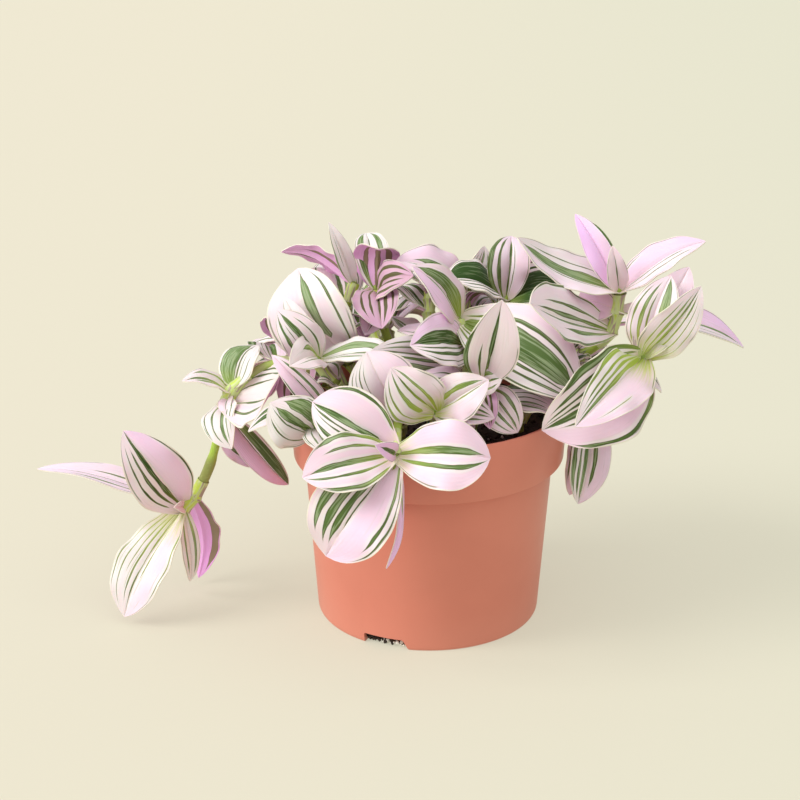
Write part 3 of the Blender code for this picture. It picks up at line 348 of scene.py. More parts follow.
# Stem: place in the soil, points above the soil, and leaves: place along the stem, tip, width,
# where it is widest, bow, the way its upper side faces and its look; then places of filling leaves
toView = (0.0, -0.9, 0.45)
upward = (0.0, 0.0, 1.0)
stemPlan = {
    "stem_left_trailing": (
        (-38, 4),
        [(-44, 3, 104), (-58, 2, 112), (-72, 0, 110), (-83, -1, 102), (-88, -1, 92),
         (-91, 0, 80), (-95, 0, 66), (-101, 0, 53), (-107, -1, 46), (-113, -3, 44)],
        [(0.99, (-133, -25, 4), 25, 0.6, 6, (-0.4, -0.8, 0.3), "pendant"),
         (0.97, (-130, -14, 87), 27, 0.45, 5, (0.2, -0.9, 0.3), "salmonFan"),
         (0.94, (-172, 8, 62), 17, 0.4, 3, (0.0, -0.1, 1.0), "lilacTongue"),
         (0.95, (-106, 5, 6), 9, 0.4, 3, (0.5, -0.85, 0.1), "paleStrip"),
         (0.90, (-103, 18, 3), 16, 0.45, 5, (0.5, 0.85, 0.1), "magentaBack"),
         (1.00, (-109, -17, 53), 6, 0.4, 1, (0.3, -0.8, 0.4), "youngRoll"),
         (0.53, (-64, -24, 116), 35, 0.5, -7, (0.0, -0.55, 0.8), "creamShell"),
         (0.47, (-74, 12, 117), 20, 0.4, 4, (-0.5, -0.6, 0.6), "greenHalf"),
         (0.49, (-105, -8, 108), 14, 0.4, 3, (0.0, -0.2, 1.0), "smallOlive"),
         (0.52, (-84, -20, 81), 18, 0.4, 5, (-0.4, -0.9, 0.2), "paleStriped"),
         (0.64, (-72, 4, 64), 14, 0.4, 3, (0.0, -0.8, 0.4), "oliveLilac"),
         (0.56, (-64, 10, 52), 13, 0.45, 5, (-0.3, -0.7, 0.6), "lilacOlive"),
         (0.30, (-72, 32, 104), 22, 0.4, 6, upward, None),
         (0.20, (-62, -22, 98), 16, 0.4, 5, upward, "plumBack"),
         (0.50, (-86, -12, 93), 7, 0.45, 2, (-0.3, -0.9, 0.3), "palePoint")],
        (0.10,),
    ),
    "stem_left_rosette": (
        (-26, -14),
        [(-31, -17, 100), (-39, -20, 110), (-45, -20, 118), (-47, -20, 124)],
        [(0.97, (-63, -22, 144), 18, 0.4, 4, (0.2, -0.9, 0.3), "rosetteSpear"),
         (0.90, (-61, -10, 146), 10, 0.4, 4, (-0.2, -0.5, 0.8), "paleSpear"),
         (1.00, (-57, -42, 127), 16, 0.5, 4, (0.3, -0.6, 0.7), "curledCream"),
         (0.93, (-12, -34, 126), 17, 0.45, 4, (0.0, -0.3, 1.0), "silverArch")],
        (0.30, 0.60),
    ),
    "stem_left_low": (
        (-33, -27),
        [(-36, -32, 100), (-43, -38, 102), (-49, -43, 97)],
        [(1.00, (-65, -50, 114), 25, 0.5, 4, (-0.2, -0.9, 0.3), "greenishPale"),
         (0.60, (-65, -34, 129), 11, 0.4, 4, (0.1, -0.9, 0.4), "salmonSpear"),
         (0.85, (-40, -62, 96), 14, 0.4, 3, (0.0, -0.9, 0.4), "paleStriped")],
        (0.30,),
    ),
    "stem_left_high": (
        (-23, 2),
        [(-28, 0, 104), (-35, -3, 117), (-37, -1, 130), (-34, 4, 141), (-31, 6, 149)],
        [(0.42, (-56, 2, 155), 38, 0.58, 11, (-0.5, -0.75, 0.4), "bigPale"),
         (1.00, (-42, 0, 175), 8, 0.4, 2, (0.4, -0.9, 0.0), "paleSpear"),
         (0.95, (-63, 14, 159), 14, 0.4, 4, (0.3, 0.6, 0.5), "magentaTip"),
         (0.80, (-44, 34, 150), 22, 0.4, 5, upward, None)],
        (0.25, 0.60),
    ),
    "stem_top_left": (
        (-10, 4),
        [(-12, 4, 104), (-17, 4, 120), (-21, 4, 134), (-23, 4, 147)],
        [(0.95, (-21, -6, 166), 20, 0.5, 6, (0.0, 0.9, 0.3), "plumBack"),
         (0.90, (-7, -12, 156), 18, 0.5, 5, (0.3, -0.6, 0.6), "plumFold"),
         (0.97, (-20, -22, 136), 20, 0.55, 5, toView, "mauveStriped"),
         (0.80, (-27, -16, 131), 14, 0.4, 3, toView, "dustyPink"),
         (1.00, (-27, 24, 164), 15, 0.5, 6, (0.0, -0.5, 0.9), "archingWhite")],
        (0.30, 0.55),
    ),
    "stem_top_centre": (
        (4, 6),
        [(6, 6, 104), (11, 7, 119), (15, 8, 133), (17, 8, 145)],
        [(1.00, (-14, 0, 159), 22, 0.45, 4, (0.0, -0.5, 0.9), "greyStripedPink"),
         (0.95, (24, 16, 160), 12, 0.4, 2, (0.5, -0.6, 0.4), "paleStriped"),
         (0.80, (8, 40, 146), 22, 0.4, 6, upward, None)],
        (0.30, 0.60, 0.80),
    ),
    "stem_centre": (
        (8, -8),
        [(10, -11, 103), (13, -16, 114), (14, -18, 126), (12, -13, 139)],
        [(0.95, (63, -38, 111), 36, 0.45, 10, (0.1, -0.75, 0.65), "broadBand"),
         (1.00, (-7, -24, 164), 20, 0.4, 4, (0.7, -0.6, 0.4), "foldedOlive"),
         (0.75, (-8, -40, 139), 24, 0.5, 4, (0.0, -0.8, 0.5), "darkBandLeft"),
         (0.60, (-24, -30, 132), 18, 0.4, 4, toView, "silverStriped")],
        (0.30, 0.50),
    ),
    "stem_centre_front": (
        (18, -20),
        [(19, -27, 103), (21, -36, 112), (22, -43, 121)],
        [(1.00, (28, -56, 159), 22, 0.45, 3, (0.0, -0.95, 0.2), "uprightPink"),
         (0.95, (29, -50, 121), 12, 0.4, 2, toView, "smallOlive"),
         (0.80, (36, -46, 99), 18, 0.4, 4, toView, "shadedStriped"),
         (0.90, (24, -54, 104), 10, 0.4, 2, toView, "magentaStriped")],
        (0.30, 0.60),
    ),
    "stem_front_middle": (
        (2, -26),
        [(2, -32, 99), (2, -40, 103), (2, -46, 109)],
        [(1.00, (-16, -56, 131), 25, 0.5, 4, (-0.2, -0.9, 0.3), "fanLeft"),
         (1.00, (23, -56, 126), 20, 0.5, 4, (0.2, -0.8, 0.5), "fanRight"),
         (0.90, (26, -50, 109), 16, 0.4, 5, (0.1, -0.7, 0.6), "shadedStriped")],
        (0.30,),
    ),
    "stem_front_trailing": (
        (-12, -28),
        [(-12, -36, 101), (-13, -48, 105), (-14, -58, 102), (-14, -65, 95)],
        [(0.97, (-51, -80, 94), 25, 0.55, 3, (0.0, -0.75, 0.6), "frontFanLeft"),
         (0.90, (-48, -50, 116), 26, 0.55, 4, (0.0, -0.8, 0.5), "frontFanTop"),
         (0.97, (24, -72, 99), 29, 0.6, 6, (0.0, -0.8, 0.5), "frontFanRight"),
         (1.00, (-43, -74, 56), 35, 0.6, 7, (-0.2, -0.95, 0.2), "frontPendant"),
         (1.00, (-17, -67, 47), 8, 0.3, 3, (0.9, -0.2, 0.1), "foldedRibbon"),
         (0.95, (-25, -68, 80), 12, 0.4, 2, toView, "smallOlive"),
         (1.00, (-22, -76, 106), 8, 0.4, 2, toView, "youngMagenta"),
         (0.40, (-26, -42, 133), 28, 0.6, 4, (-0.1, -0.9, 0.4), "tallPink"),
         (0.45, (-12, -38, 128), 12, 0.4, 3, toView, "pinkMargin")],
        (0.25,),
    ),
    "stem_right_upright": (
        (36, 4),
        [(42, 3, 103), (54, 0, 112), (67, -3, 119), (76, -6, 128), (79, -7, 140), (79, -8, 151)],
        [(0.98, (114, -8, 170), 16, 0.4, 4, (0.0, -0.5, 0.85), "lilacWing"),
         (0.95, (37, -14, 173), 21, 0.35, -6, (0.1, -0.5, 0.85), "archBand"),
         (1.00, (61, 4, 178), 13, 0.4, 3, (0.3, -0.9, 0.2), "magentaUpright"),
         (0.72, (41, -42, 158), 29, 0.6, -3, (0.0, -0.7, 0.7), "shellStriped"),
         (1.00, (75, -14, 169), 9, 0.4, 2, toView, "palePoint"),
         (0.85, (63, 6, 140), 18, 0.4, 4, toView, "duskyMargin"),
         (0.84, (134, -6, 123), 18, 0.4, 5, (0.2, -0.4, 0.9), "lilacPoint")],
        (0.15, 0.35, 0.50),
    ),
    "stem_right_trailing": (
        (38, -16),
        [(44, -17, 102), (58, -21, 112), (73, -26, 120), (84, -29, 125), (91, -30, 127)],
        [(0.96, (45, -50, 101), 39, 0.42, 11, (0.35, -0.9, 0.15), "bigTongue"),
         (1.00, (57, -76, 114), 24, 0.4, 6, (0.1, -0.85, 0.5), "overTongue"),
         (0.97, (98, -25, 160), 22, 0.4, 4, (-0.4, -0.8, 0.3), "risingStriped"),
         (0.92, (107, -20, 161), 20, 0.4, 4, toView, "pinkRim"),
         (1.00, (108, -44, 161), 20, 0.4, 4, (0.3, -0.8, 0.4), "yellowFan")],
        (0.15, 0.35, 0.55),
    ),
    "stem_right_low": (
        (44, 12),
        [(50, 10, 101), (60, 6, 105), (68, 2, 99), (71, -1, 88)],
        [(1.00, (64, -19, 55), 18, 0.5, 4, (0.2, -0.9, 0.2), "hangingStriped"),
         (0.95, (61, -8, 56), 18, 0.4, 3, (0.3, -0.8, 0.3), "brownPink"),
         (0.60, (92, 24, 104), 22, 0.4, 6, upward, None)],
        (0.15, 0.35),
    ),
    "stem_top_right": (
        (22, 8),
        [(24, 7, 104), (28, 6, 118), (31, 5, 131), (33, 4, 142)],
        [(0.95, (6, -7, 149), 24, 0.5, 4, (0.0, -0.35, 0.95), "darkHalf"),
         (0.98, (59, 4, 144), 22, 0.5, 5, (0.0, -0.5, 0.85), "darkFull"),
         (1.00, (35, 16, 165), 18, 0.5, 9, (0.0, -0.85, 0.5), "shellArch"),
         (1.00, (50, 26, 157), 14, 0.4, 3, (0.0, -0.8, 0.3), "magentaStriped")],
        (0.30, 0.55, 0.80),
    ),
}

layout = {
    "seed": 7,
    "stemRadius": 2.4, "tipRadius": 1.7, "nodeSwell": 0.5, "stemSides": 6,
    "holeBottom": 62.3, "soilLevel": 91.0, "lastShare": 0.95,
    "rows": (0.0, 0.16, 0.4, 0.66, 0.88, 1.0), "smallRows": (0.0, 0.2, 0.5, 0.82, 1.0), "smallLength": 34.0,
    "thickness": 0.8, "clearance": 0.3, "floorRoom": 1.2, "outerRow": 2,
    "baseShare": 0.2, "taper": 0.8, "bowLean": 1.3, "tipWidth": 1.2, "marginRise": 0.16,
    "bendWays": ((0, -1, 0), (0, 1, 0), (0, -0.7, -0.7), (0, 0.7, 0.7), (0, 0, 1), (0, 0, -1),
                 (0.7, -0.7, 0), (-0.7, -0.7, 0), (0.7, 0.7, 0), (-0.7, 0.7, 0)),
    "bendReaches": (0, 4, 8, 12, 17, 23, 30), "bendSizes": (1.0, 0.85),
    "backShares": (0.3, 0.52, 0.72, 0.88, 1.0), "backStems": 7, "backHeadings": (26.0, 152.0),
    "backRoots": (27.0, 41.0),
    "backInner": ((3, 104), (9, 116), (16, 126), (19, 133)),
    "backOuter": ((5, 101), (14, 110), (24, 113), (31, 108)),
    "fillTurn": 150.0, "fillSwing": 20.0, "fillLength": (30.0, 44.0), "fillLift": (-5.0, 40.0),
    "fillWidth": 0.52, "fillWidest": 0.4, "fillArch": 5.0, "fillOutward": 0.6, "fillFace": 0.3,
    "crownTop": 156.0, "crownBack": 0.4, "crownLeftFall": 0.9, "crownLeft": 40.0,
}
potPlan = {
    "height": 97.6, "rimRadius": 60.0, "collarZ": 72.2, "collarRadius": 58.4, "bodyRadius": 53.7,
    "baseRadius": 48.6, "wall": 1.3, "floorRise": 5.2, "footWidth": 5.0, "padRadius": 22.0,
    "notches": 3, "notchWidth": 18.0, "notchHeight": 4.7, "notchHeading": -114.0,
    "drains": 6, "drainRadius": 3.0, "drainCircle": 33.5,
    "soilTop": 88.5, "room": 0.9, "sides": 36,
}


def outlineShare(t, widest):
    if t < widest:
        return layout["baseShare"] + (1 - layout["baseShare"]) * math.sin(math.pi / 2 * t / widest)
    u = (t - widest) / (1 - widest)
    return (1 - u) ** layout["taper"] * (1 + layout["taper"] * u)


def bowShare(t):
    lean = layout["bowLean"]
    turn = math.pi * t**lean
    return math.sin(turn), math.pi * lean * t ** (lean - 1) * math.cos(turn)


def smoothRoute(points, pieces=8):  # a Catmull-Rom curve through every point
    ends = [2 * points[0] - points[1], *points, 2 * points[-1] - points[-2]]
    found = [points[0]]
    for a, b, c, d in zip(ends, ends[1:], ends[2:], ends[3:]):
        for k in range(1, pieces + 1):
            t = k / pieces
            found.append(
                0.5 * (2 * b + (c - a) * t + (2 * a - 5 * b + 4 * c - d) * t**2
                       + (3 * b - a - 3 * c + d) * t**3)
            )
    return found


def pointAlong(points, share):
    lengths = [(b - a).length for a, b in zip(points, points[1:])]
    left = share * sum(lengths)
    for a, b, length in zip(points, points[1:], lengths):
        if left <= length:
            return a.lerp(b, left / length)
        left -= length
    return points[-1].copy()


def bladeFrame(leaf, t):  # middle, side, tangent and half width of a blade at share t
    base, tip, width, widest, arch, face = leaf
    chord = tip - base
    rise = (face - chord * face.dot(chord) / chord.length_squared).normalized()
    half = max(width / 2 * outlineShare(t, widest), layout["tipWidth"] / 2)
    height, slope = bowShare(t)
    tangent = (chord + rise * (arch * slope)).normalized()
    return base + chord * t + rise * (arch * height), tangent.cross(rise).normalized(), tangent, half


def roomBlade(leaf, thickness, firstRow=0):
    length = (leaf[1] - leaf[0]).length
    rows = (layout["smallRows"] if length < layout["smallLength"] else layout["rows"])[firstRow:]
    bm = bmesh.new()
    bmesh.ops.create_grid(bm, x_segments=2, y_segments=len(rows) - 1, size=1)
    for vert in bm.verts:
        across = round(vert.co.x)
        t = rows[round((vert.co.y + 1) / 2 * (len(rows) - 1))]
        middle, side, tangent, half = bladeFrame(leaf, t)
        lift = side.cross(tangent) * (layout["marginRise"] * half * abs(across))
        vert.co = middle + side * (across * half) + lift
    bmesh.ops.triangulate(bm, faces=bm.faces[:], quad_method="FIXED")
    bm.normal_update()
    for vert in bm.verts:
        vert.co -= vert.normal * thickness / 2
    bmesh.ops.solidify(bm, geom=bm.faces[:], thickness=-thickness)
    bmesh.ops.recalc_face_normals(bm, faces=bm.faces[:])
    return bm


def freedTree(bm):
    tree = BVHTree.FromBMesh(bm)
    bm.free()
    return tree


def stemTree(route):
    bm = bmesh.new()
    radius = layout["stemRadius"] + layout["nodeSwell"] + layout["clearance"]
    for a, b in zip(route, route[1:]):
        turn = (b - a).to_track_quat("Z", "Y").to_matrix().to_4x4()
        turn.translation = (a + b) / 2
        bmesh.ops.create_cone(
            bm, cap_ends=True, segments=layout["stemSides"], radius1=radius, radius2=radius,
            depth=(b - a).length, matrix=turn,
        )
    return freedTree(bm)


def spunShape(profile, steps):
    bm = bmesh.new()
    verts = [bm.verts.new((radius, 0, z)) for radius, z in profile]
    edges = [bm.edges.new(pair) for pair in zip(verts, verts[1:])]
    bmesh.ops.spin(
        bm, geom=verts + edges, cent=(0, 0, 0), axis=up, angle=math.tau, steps=steps, use_merge=True
    )
    bmesh.ops.remove_doubles(bm, verts=bm.verts, dist=smallGap)
    bmesh.ops.recalc_face_normals(bm, faces=bm.faces)
    return bm


def potTree():  # the surface that leaves keep off: the pot's outside, its rim and the soil
    p = potPlan
    room, inner = p["room"], p["wall"] + p["room"]
    collar, top = p["collarZ"] - room, p["height"] + room
    profile = (
        (p["baseRadius"] + room, 0), (p["bodyRadius"] + room, collar), (p["collarRadius"] + room, collar),
        (p["rimRadius"] + room, top), (p["rimRadius"] - inner, top),
        (p["collarRadius"] - inner, p["soilTop"]), (0, p["soilTop"]),
    )
    return freedTree(spunShape(profile, p["sides"]))


def clearOf(leaf, stemName, obstacles, siblings):
    room = layout["thickness"] + 2 * layout["clearance"]
    bm = roomBlade(leaf, room)
    lowest = min(vert.co.z for vert in bm.verts)
    tree = freedTree(bm)
    if lowest < layout["floorRoom"]:
        return False
    if any(name != stemName and tree.overlap(other) for name, other in obstacles):
        return False
    outer = freedTree(roomBlade(leaf, room, layout["outerRow"]))
    return not any(outer.overlap(other) for other in siblings)


def bentClear(leaf, stemName, obstacles, siblings):  # the leaf with its tip moved as little as clears it
    base, tip, width, widest, arch, face = leaf
    for size in layout["bendSizes"]:
        for reach in layout["bendReaches"]:
            for way in layout["bendWays"][: 1 if reach == 0 else None]:
                moved = base + (tip + Vector(way) * reach - base) * size
                tried = (base, moved, width * size, widest, arch * size, face)
                if clearOf(tried, stemName, obstacles, siblings):
                    return tried
    return None


def backStems():
    first, last = layout["backHeadings"]
    found = {}
    for k in range(layout["backStems"]):
        heading = first + (last - first) * k / (layout["backStems"] - 1)
        out = headingVector(heading)
        inner = k % 2 == 1
        root = out * layout["backRoots"][0 if inner else 1]
        reaches = layout["backInner" if inner else "backOuter"]
        points = [root + out * reach + Vector((0, 0, z)) for reach, z in reaches]
        found[f"stem_back_{k + 1}"] = ((root.x, root.y), points, [], layout["backShares"])
    return found


def fillingLeaves(above, shares, draw):
    found = []
    plan = layout
    heading = draw.uniform(0, 360)
    for share in shares:
        heading += plan["fillTurn"] + draw.uniform(-plan["fillSwing"], plan["fillSwing"])
        base = pointAlong(above, min(share, plan["lastShare"]))
        length = draw.uniform(*plan["fillLength"])
        way = headingVector(heading, draw.uniform(*plan["fillLift"]))
        outward = Vector((base.x, base.y, 0)).normalized()
        tip = base + (way + outward * plan["fillOutward"]).normalized() * length
        fall = plan["crownBack"] * tip.y + plan["crownLeftFall"] * max(0, -tip.x - plan["crownLeft"])
        tip.z = min(tip.z, plan["crownTop"] - fall)
        face = Vector(upward) + outward * plan["fillFace"]
        found.append((base, tip, length * plan["fillWidth"], plan["fillWidest"], plan["fillArch"], face))
    return found


def layOut():  # stem name -> its whole route and its leaves, each with its look
    draw = random.Random(layout["seed"])
    stems = stemPlan | backStems()
    routes = {}
    for name, (root, points, _, _) in stems.items():
        above = smoothRoute([Vector((*root, layout["soilLevel"])), *(Vector(point) for point in points)])
        routes[name] = ([Vector((*root, layout["holeBottom"])), *above], above)
    obstacles = [("pot", potTree())]
    obstacles += [(name, stemTree(routes[name][1])) for name in routes]
    siblings = {name: [] for name in routes}
    laid = {name: (routes[name][0], []) for name in routes}

    def place(name, leaf, look):
        found = bentClear(leaf, name, obstacles, siblings[name])
        if found is None:
            return
        obstacles.append((name, freedTree(roomBlade(found, layout["thickness"]))))
        siblings[name].append(freedTree(roomBlade(found, layout["thickness"], layout["outerRow"])))
        laid[name][1].append((found, look))

    for name, (_, _, leaves, _) in stems.items():
        for at, tip, width, widest, arch, face, look in leaves:
            base = pointAlong(routes[name][1], min(at, layout["lastShare"]))
            place(name, (base, Vector(tip), width, widest, arch, Vector(face)), look)
    for name, (_, _, _, shares) in stems.items():
        for leaf in fillingLeaves(routes[name][1], shares, draw):
            place(name, leaf, None)
    return laid


laid = layOut()
print("laid out", sum(len(leaves) for _, leaves in laid.values()), "leaves on", len(laid), "stems")


# Foliage finish: shared node groups, then one material for each side of a leaf

foliageColours = {name: linear(code) for name, code in {
    "white": "#E8E3DF", "pink": "#EDD0E0", "lilac": "#EFC4F3", "blush": "#EEC4C0",
    "yellowBase": "#C0D650", "darkGreen": "#2A4A12", "midGreen": "#5D793D", "silverGreen": "#9BAE84",
    "stripeEdge": "#4A5524", "rim": "#E2E2C6", "underPink": "#E7BED4", "underMagenta": "#EBAEEA",
    # The last two colours on the next line are the dusky ground and stripe: partly the leaves' own plum tone,
    # partly painted shade
    "underOlive": "#7F7846", "underEdge": "#6A4B40", "duskAndShadePink": "#BE8DA6", "duskAndShadeStripe": "#5E5434",
    "stemBright": "#A8C84A", "stemOlive": "#8E9252", "stemPurple": "#9A6F86", "stemRing": "#6F6A3A",
    "sheath": "#C5D58E",
}.items()}
stripeCount = 7  # the most that a blade can have
stripeNames = [f"stripe{k + 1}" for k in range(stripeCount)]
noStripe = (-1, 0, 2, 3)  # outside the blade
bladeMap = "blade"
stripeFinish = {  # in shares of the blade's width and length
    "opening": 0.08, "closing": 0.2, "inset": 0.004, "softness": 0.005, "core": (0.008, 0.022),
    "surround": (-0.075, -0.01),  # where the ground beside it changes
    "swellPlace": (31.0, 3.5), "swellDetail": 1.0, "swellRange": (0.3, 0.7, -1.0, 1.0),
    "swellShare": 0.3, "swellMost": 0.012,
    "streakDetail": 2.0,
    "seedSpread": 97.0,  # keeps the noise of two leaves apart
}
patternFinish = {
    # Streaks: how many across, how stretched along, and the size or range that is used
    "wander": (1.5, 3.0, 0.05), "fray": (46.0, 4.0, 0.018), "hemBreaks": (3.0, 2.0, 0.46, 0.54),
    "thinLines": (34.0, 2.2, 0.62, 0.66), "silver": (38.0, 3.5), "clouds": (5.0, 2.0),
    # Distances from the blade's middle
    "hemInside": (0.452, 0.458), "hemOutside": (0.472, 0.478, 1.0, 0.0), "rim": (0.481, 0.488),
    "midrib": (0.006, 0.02, 1.0, 0.0),
    "ribs": 110.0, "ribHeight": 0.5, "streakHeight": 1.2, "midribDepth": 2.0,
    "bump": 0.14, "bumpDistance": 0.0002,
}
upperFinish = {
    "pinkClouds": 0.6, "pinkByStripe": (0.0, 1.0, 1.0, 0.25),
    # The last strength on the next line mixes in the dusky ground, which is partly painted shade
    "lilacToTip": (0.0, 0.9, 0.5, 1.15), "lilacByStripe": (0.0, 1.0, 0.9, 0.45), "duskAndShade": 0.75,
    "blushAtBase": (0.0, 0.4, 1.0, 0.0), "blush": (0.5, 0.3),
    "freshReach": (0.4, 0.06), "freshStreaks": (0.35, 0.6, 0.25, 1.0),
    "over": (("lines", 0.8, "silverGreen"), ("rib", 0.25, "rim"), ("rim", 0.7, "rim")),
    "silver": (0.4, 0.62), "silverShare": (-0.5, 0.7, 0.0, 0.9), "deep": (0.3, 1.0),
    "inStripe": (("edge", 0.8, "stripeEdge"), ("duskAndShade", 0.9, "duskAndShadeStripe")),
    "stripeFresh": 0.8, "stripeFreshReach": 2.2, "hem": 0.75,
    "roughness": (0.2, 0.8, 0.5, 0.62), "scatter": (1.0, 0.6, 0.5),
}
underFinish = {
    "lilac": 0.6, "clouds": 0.7, "lines": 0.6, "edge": 0.8, "stripe": 0.9,
    "roughness": (0.2, 0.8, 0.46, 0.58), "scatter": (1.0, 0.5, 0.9),
}
leafFlesh = {"specular": 0.3, "subsurface": 0.15, "scatterScale": 0.0015}


def newGroup(name, inputs, outputs):
    group = bpy.data.node_groups.new(name, "ShaderNodeTree")
    for direction, labels in (("INPUT", inputs), ("OUTPUT", outputs)):
        for label in labels:
            group.interface.new_socket(label, in_out=direction, socket_type="NodeSocketFloat")
    entry = group.nodes.new("NodeGroupInput").outputs
    leaving = group.nodes.new("NodeGroupOutput").inputs
    return group, entry, leaving


def placeGroup(tree, group, inputs):
    return addNode(tree, "ShaderNodeGroup", inputs, node_tree=group).outputs


def bladeNoise(group, across, along, seed, detail):  # different on every leaf
    apart = times(group, seed, stripeFinish["seedSpread"])
    spot = addNode(group, "ShaderNodeCombineXYZ", {0: across, 1: along, 2: apart}).outputs[0]
    return placedNoise(group, spot, 1.0, detail)


def stripeGroup():  # one tapered stripe that follows the blade from base to tip
    d = stripeFinish
    names = ("Across", "Along", "Centre", "Half Width", "Start", "End", "Seed")
    group, entry, leaving = newGroup("leafStripe", names, ("Mask", "Edge", "Surround"))
    away = maths(group, "ABSOLUTE", minus(group, entry["Across"], entry["Centre"]))
    opening = ramp(group, entry["Along"], entry["Start"], plus(group, entry["Start"], d["opening"]))
    closing = ramp(group, entry["Along"], minus(group, entry["End"], d["closing"]), entry["End"], 1.0, 0.0)
    present = times(group, opening, closing)
    acrossBy, alongBy = d["swellPlace"]
    swellAcross, swellAlong = times(group, entry["Centre"], acrossBy), times(group, entry["Along"], alongBy)
    unsteady = bladeNoise(group, swellAcross, swellAlong, entry["Seed"], d["swellDetail"])
    most = maths(group, "MINIMUM", times(group, entry["Half Width"], d["swellShare"]), d["swellMost"])
    swelling = times(group, ramp(group, unsteady, *d["swellRange"]), most)
    width = times(group, plus(group, entry["Half Width"], swelling), present)
    inside = minus(group, minus(group, width, away), d["inset"])
    mask = ramp(group, inside, -d["softness"], d["softness"])
    core = ramp(group, inside, *d["core"])
    group.links.new(mask, leaving["Mask"])
    group.links.new(minus(group, mask, core, True), leaving["Edge"])
    group.links.new(times(group, ramp(group, inside, *d["surround"]), present), leaving["Surround"])
    return group


def streakGroup():  # noise drawn out along the blade
    names = ("Across", "Along", "Seed", "Count", "Stretch")
    group, entry, leaving = newGroup("leafStreaks", names, ("Value",))
    across = times(group, entry["Across"], entry["Count"])
    along = times(group, entry["Along"], entry["Stretch"])
    drawnOut = bladeNoise(group, across, along, entry["Seed"], stripeFinish["streakDetail"])
    group.links.new(drawnOut, leaving["Value"])
    return group


stripe, streaks = stripeGroup(), streakGroup()


def readBlade(tree, name):  # an attribute's red, green and blue, then its fourth number
    attribute = addNode(tree, "ShaderNodeAttribute", attribute_name=name)
    split = addNode(tree, "ShaderNodeSeparateColor", {0: attribute.outputs["Color"]}).outputs
    return split[0], split[1], split[2], attribute.outputs["Alpha"]


def bladePlace(tree):  # across and along the blade, 0 to 1
    uv = addNode(tree, "ShaderNodeUVMap", uv_map=bladeMap).outputs[0]
    flat = addNode(tree, "ShaderNodeSeparateXYZ", {0: uv}).outputs
    return flat["X"], flat["Y"]


def leafPattern(tree):  # what both sides of a leaf share, read from its map and attributes
    d = patternFinish
    sideways, along = bladePlace(tree)
    pattern = {"along": along}
    pattern["pink"], pattern["lilac"], pattern["blush"], pattern["depth"] = readBlade(tree, "ground")
    pattern["seed"], pattern["fine"], pattern["fresh"], pattern["duskAndShade"] = readBlade(tree, "nature")

    def streak(count, stretch):
        inputs = {"Across": sideways, "Along": along, "Seed": pattern["seed"]}
        return placeGroup(tree, streaks, {**inputs, "Count": count, "Stretch": stretch})["Value"]

    def unsteady(count, stretch, size):
        return times(tree, minus(tree, streak(count, stretch), 0.5), size)

    across = plus(tree, sideways, plus(tree, unsteady(*d["wander"]), unsteady(*d["fray"])))
    pattern["across"] = across
    for name in stripeNames:
        centre, reach, start, end = readBlade(tree, name)
        made = placeGroup(tree, stripe, {
            "Across": across, "Along": along, "Centre": centre, "Half Width": reach,
            "Start": start, "End": end, "Seed": pattern["seed"],
        })
        for part in ("Mask", "Edge", "Surround"):
            key = part.lower()
            pattern[key] = maths(tree, "MAXIMUM", pattern[key], made[part]) if key in pattern else made[part]
    outward = maths(tree, "ABSOLUTE", minus(tree, sideways, 0.5))
    hem = times(tree, ramp(tree, outward, *d["hemInside"]), ramp(tree, outward, *d["hemOutside"]))
    count, stretch, low, high = d["hemBreaks"]
    pattern["hem"] = times(tree, hem, ramp(tree, streak(count, stretch), low, high))
    pattern["rim"] = ramp(tree, outward, *d["rim"])
    count, stretch, low, high = d["thinLines"]
    pattern["lines"] = times(tree, ramp(tree, streak(count, stretch), low, high), pattern["fine"])
    pattern["silver"] = streak(*d["silver"])
    pattern["cloud"] = streak(*d["clouds"])
    pattern["rib"] = ramp(tree, maths(tree, "ABSOLUTE", minus(tree, across, 0.5)), *d["midrib"])
    return pattern


def setFlesh(shader, weight, radius, scale):
    shader.inputs["Subsurface Weight"].default_value = weight
    shader.inputs["Subsurface Radius"].default_value = radius
    shader.inputs["Subsurface Scale"].default_value = scale


def finishLeaf(tree, shader, p, colour, finish):
    d = patternFinish
    paint(tree, shader, colour, ramp(tree, p["cloud"], *finish["roughness"]))
    shader.inputs["Specular IOR Level"].default_value = leafFlesh["specular"]
    setFlesh(shader, leafFlesh["subsurface"], finish["scatter"], leafFlesh["scatterScale"])
    ribs = times(tree, maths(tree, "SINE", times(tree, p["across"], d["ribs"])), d["ribHeight"])
    height = plus(tree, ribs, times(tree, p["silver"], d["streakHeight"]))
    height = minus(tree, height, times(tree, p["rib"], d["midribDepth"]))
    addBump(tree, shader, height, d["bump"], d["bumpDistance"])


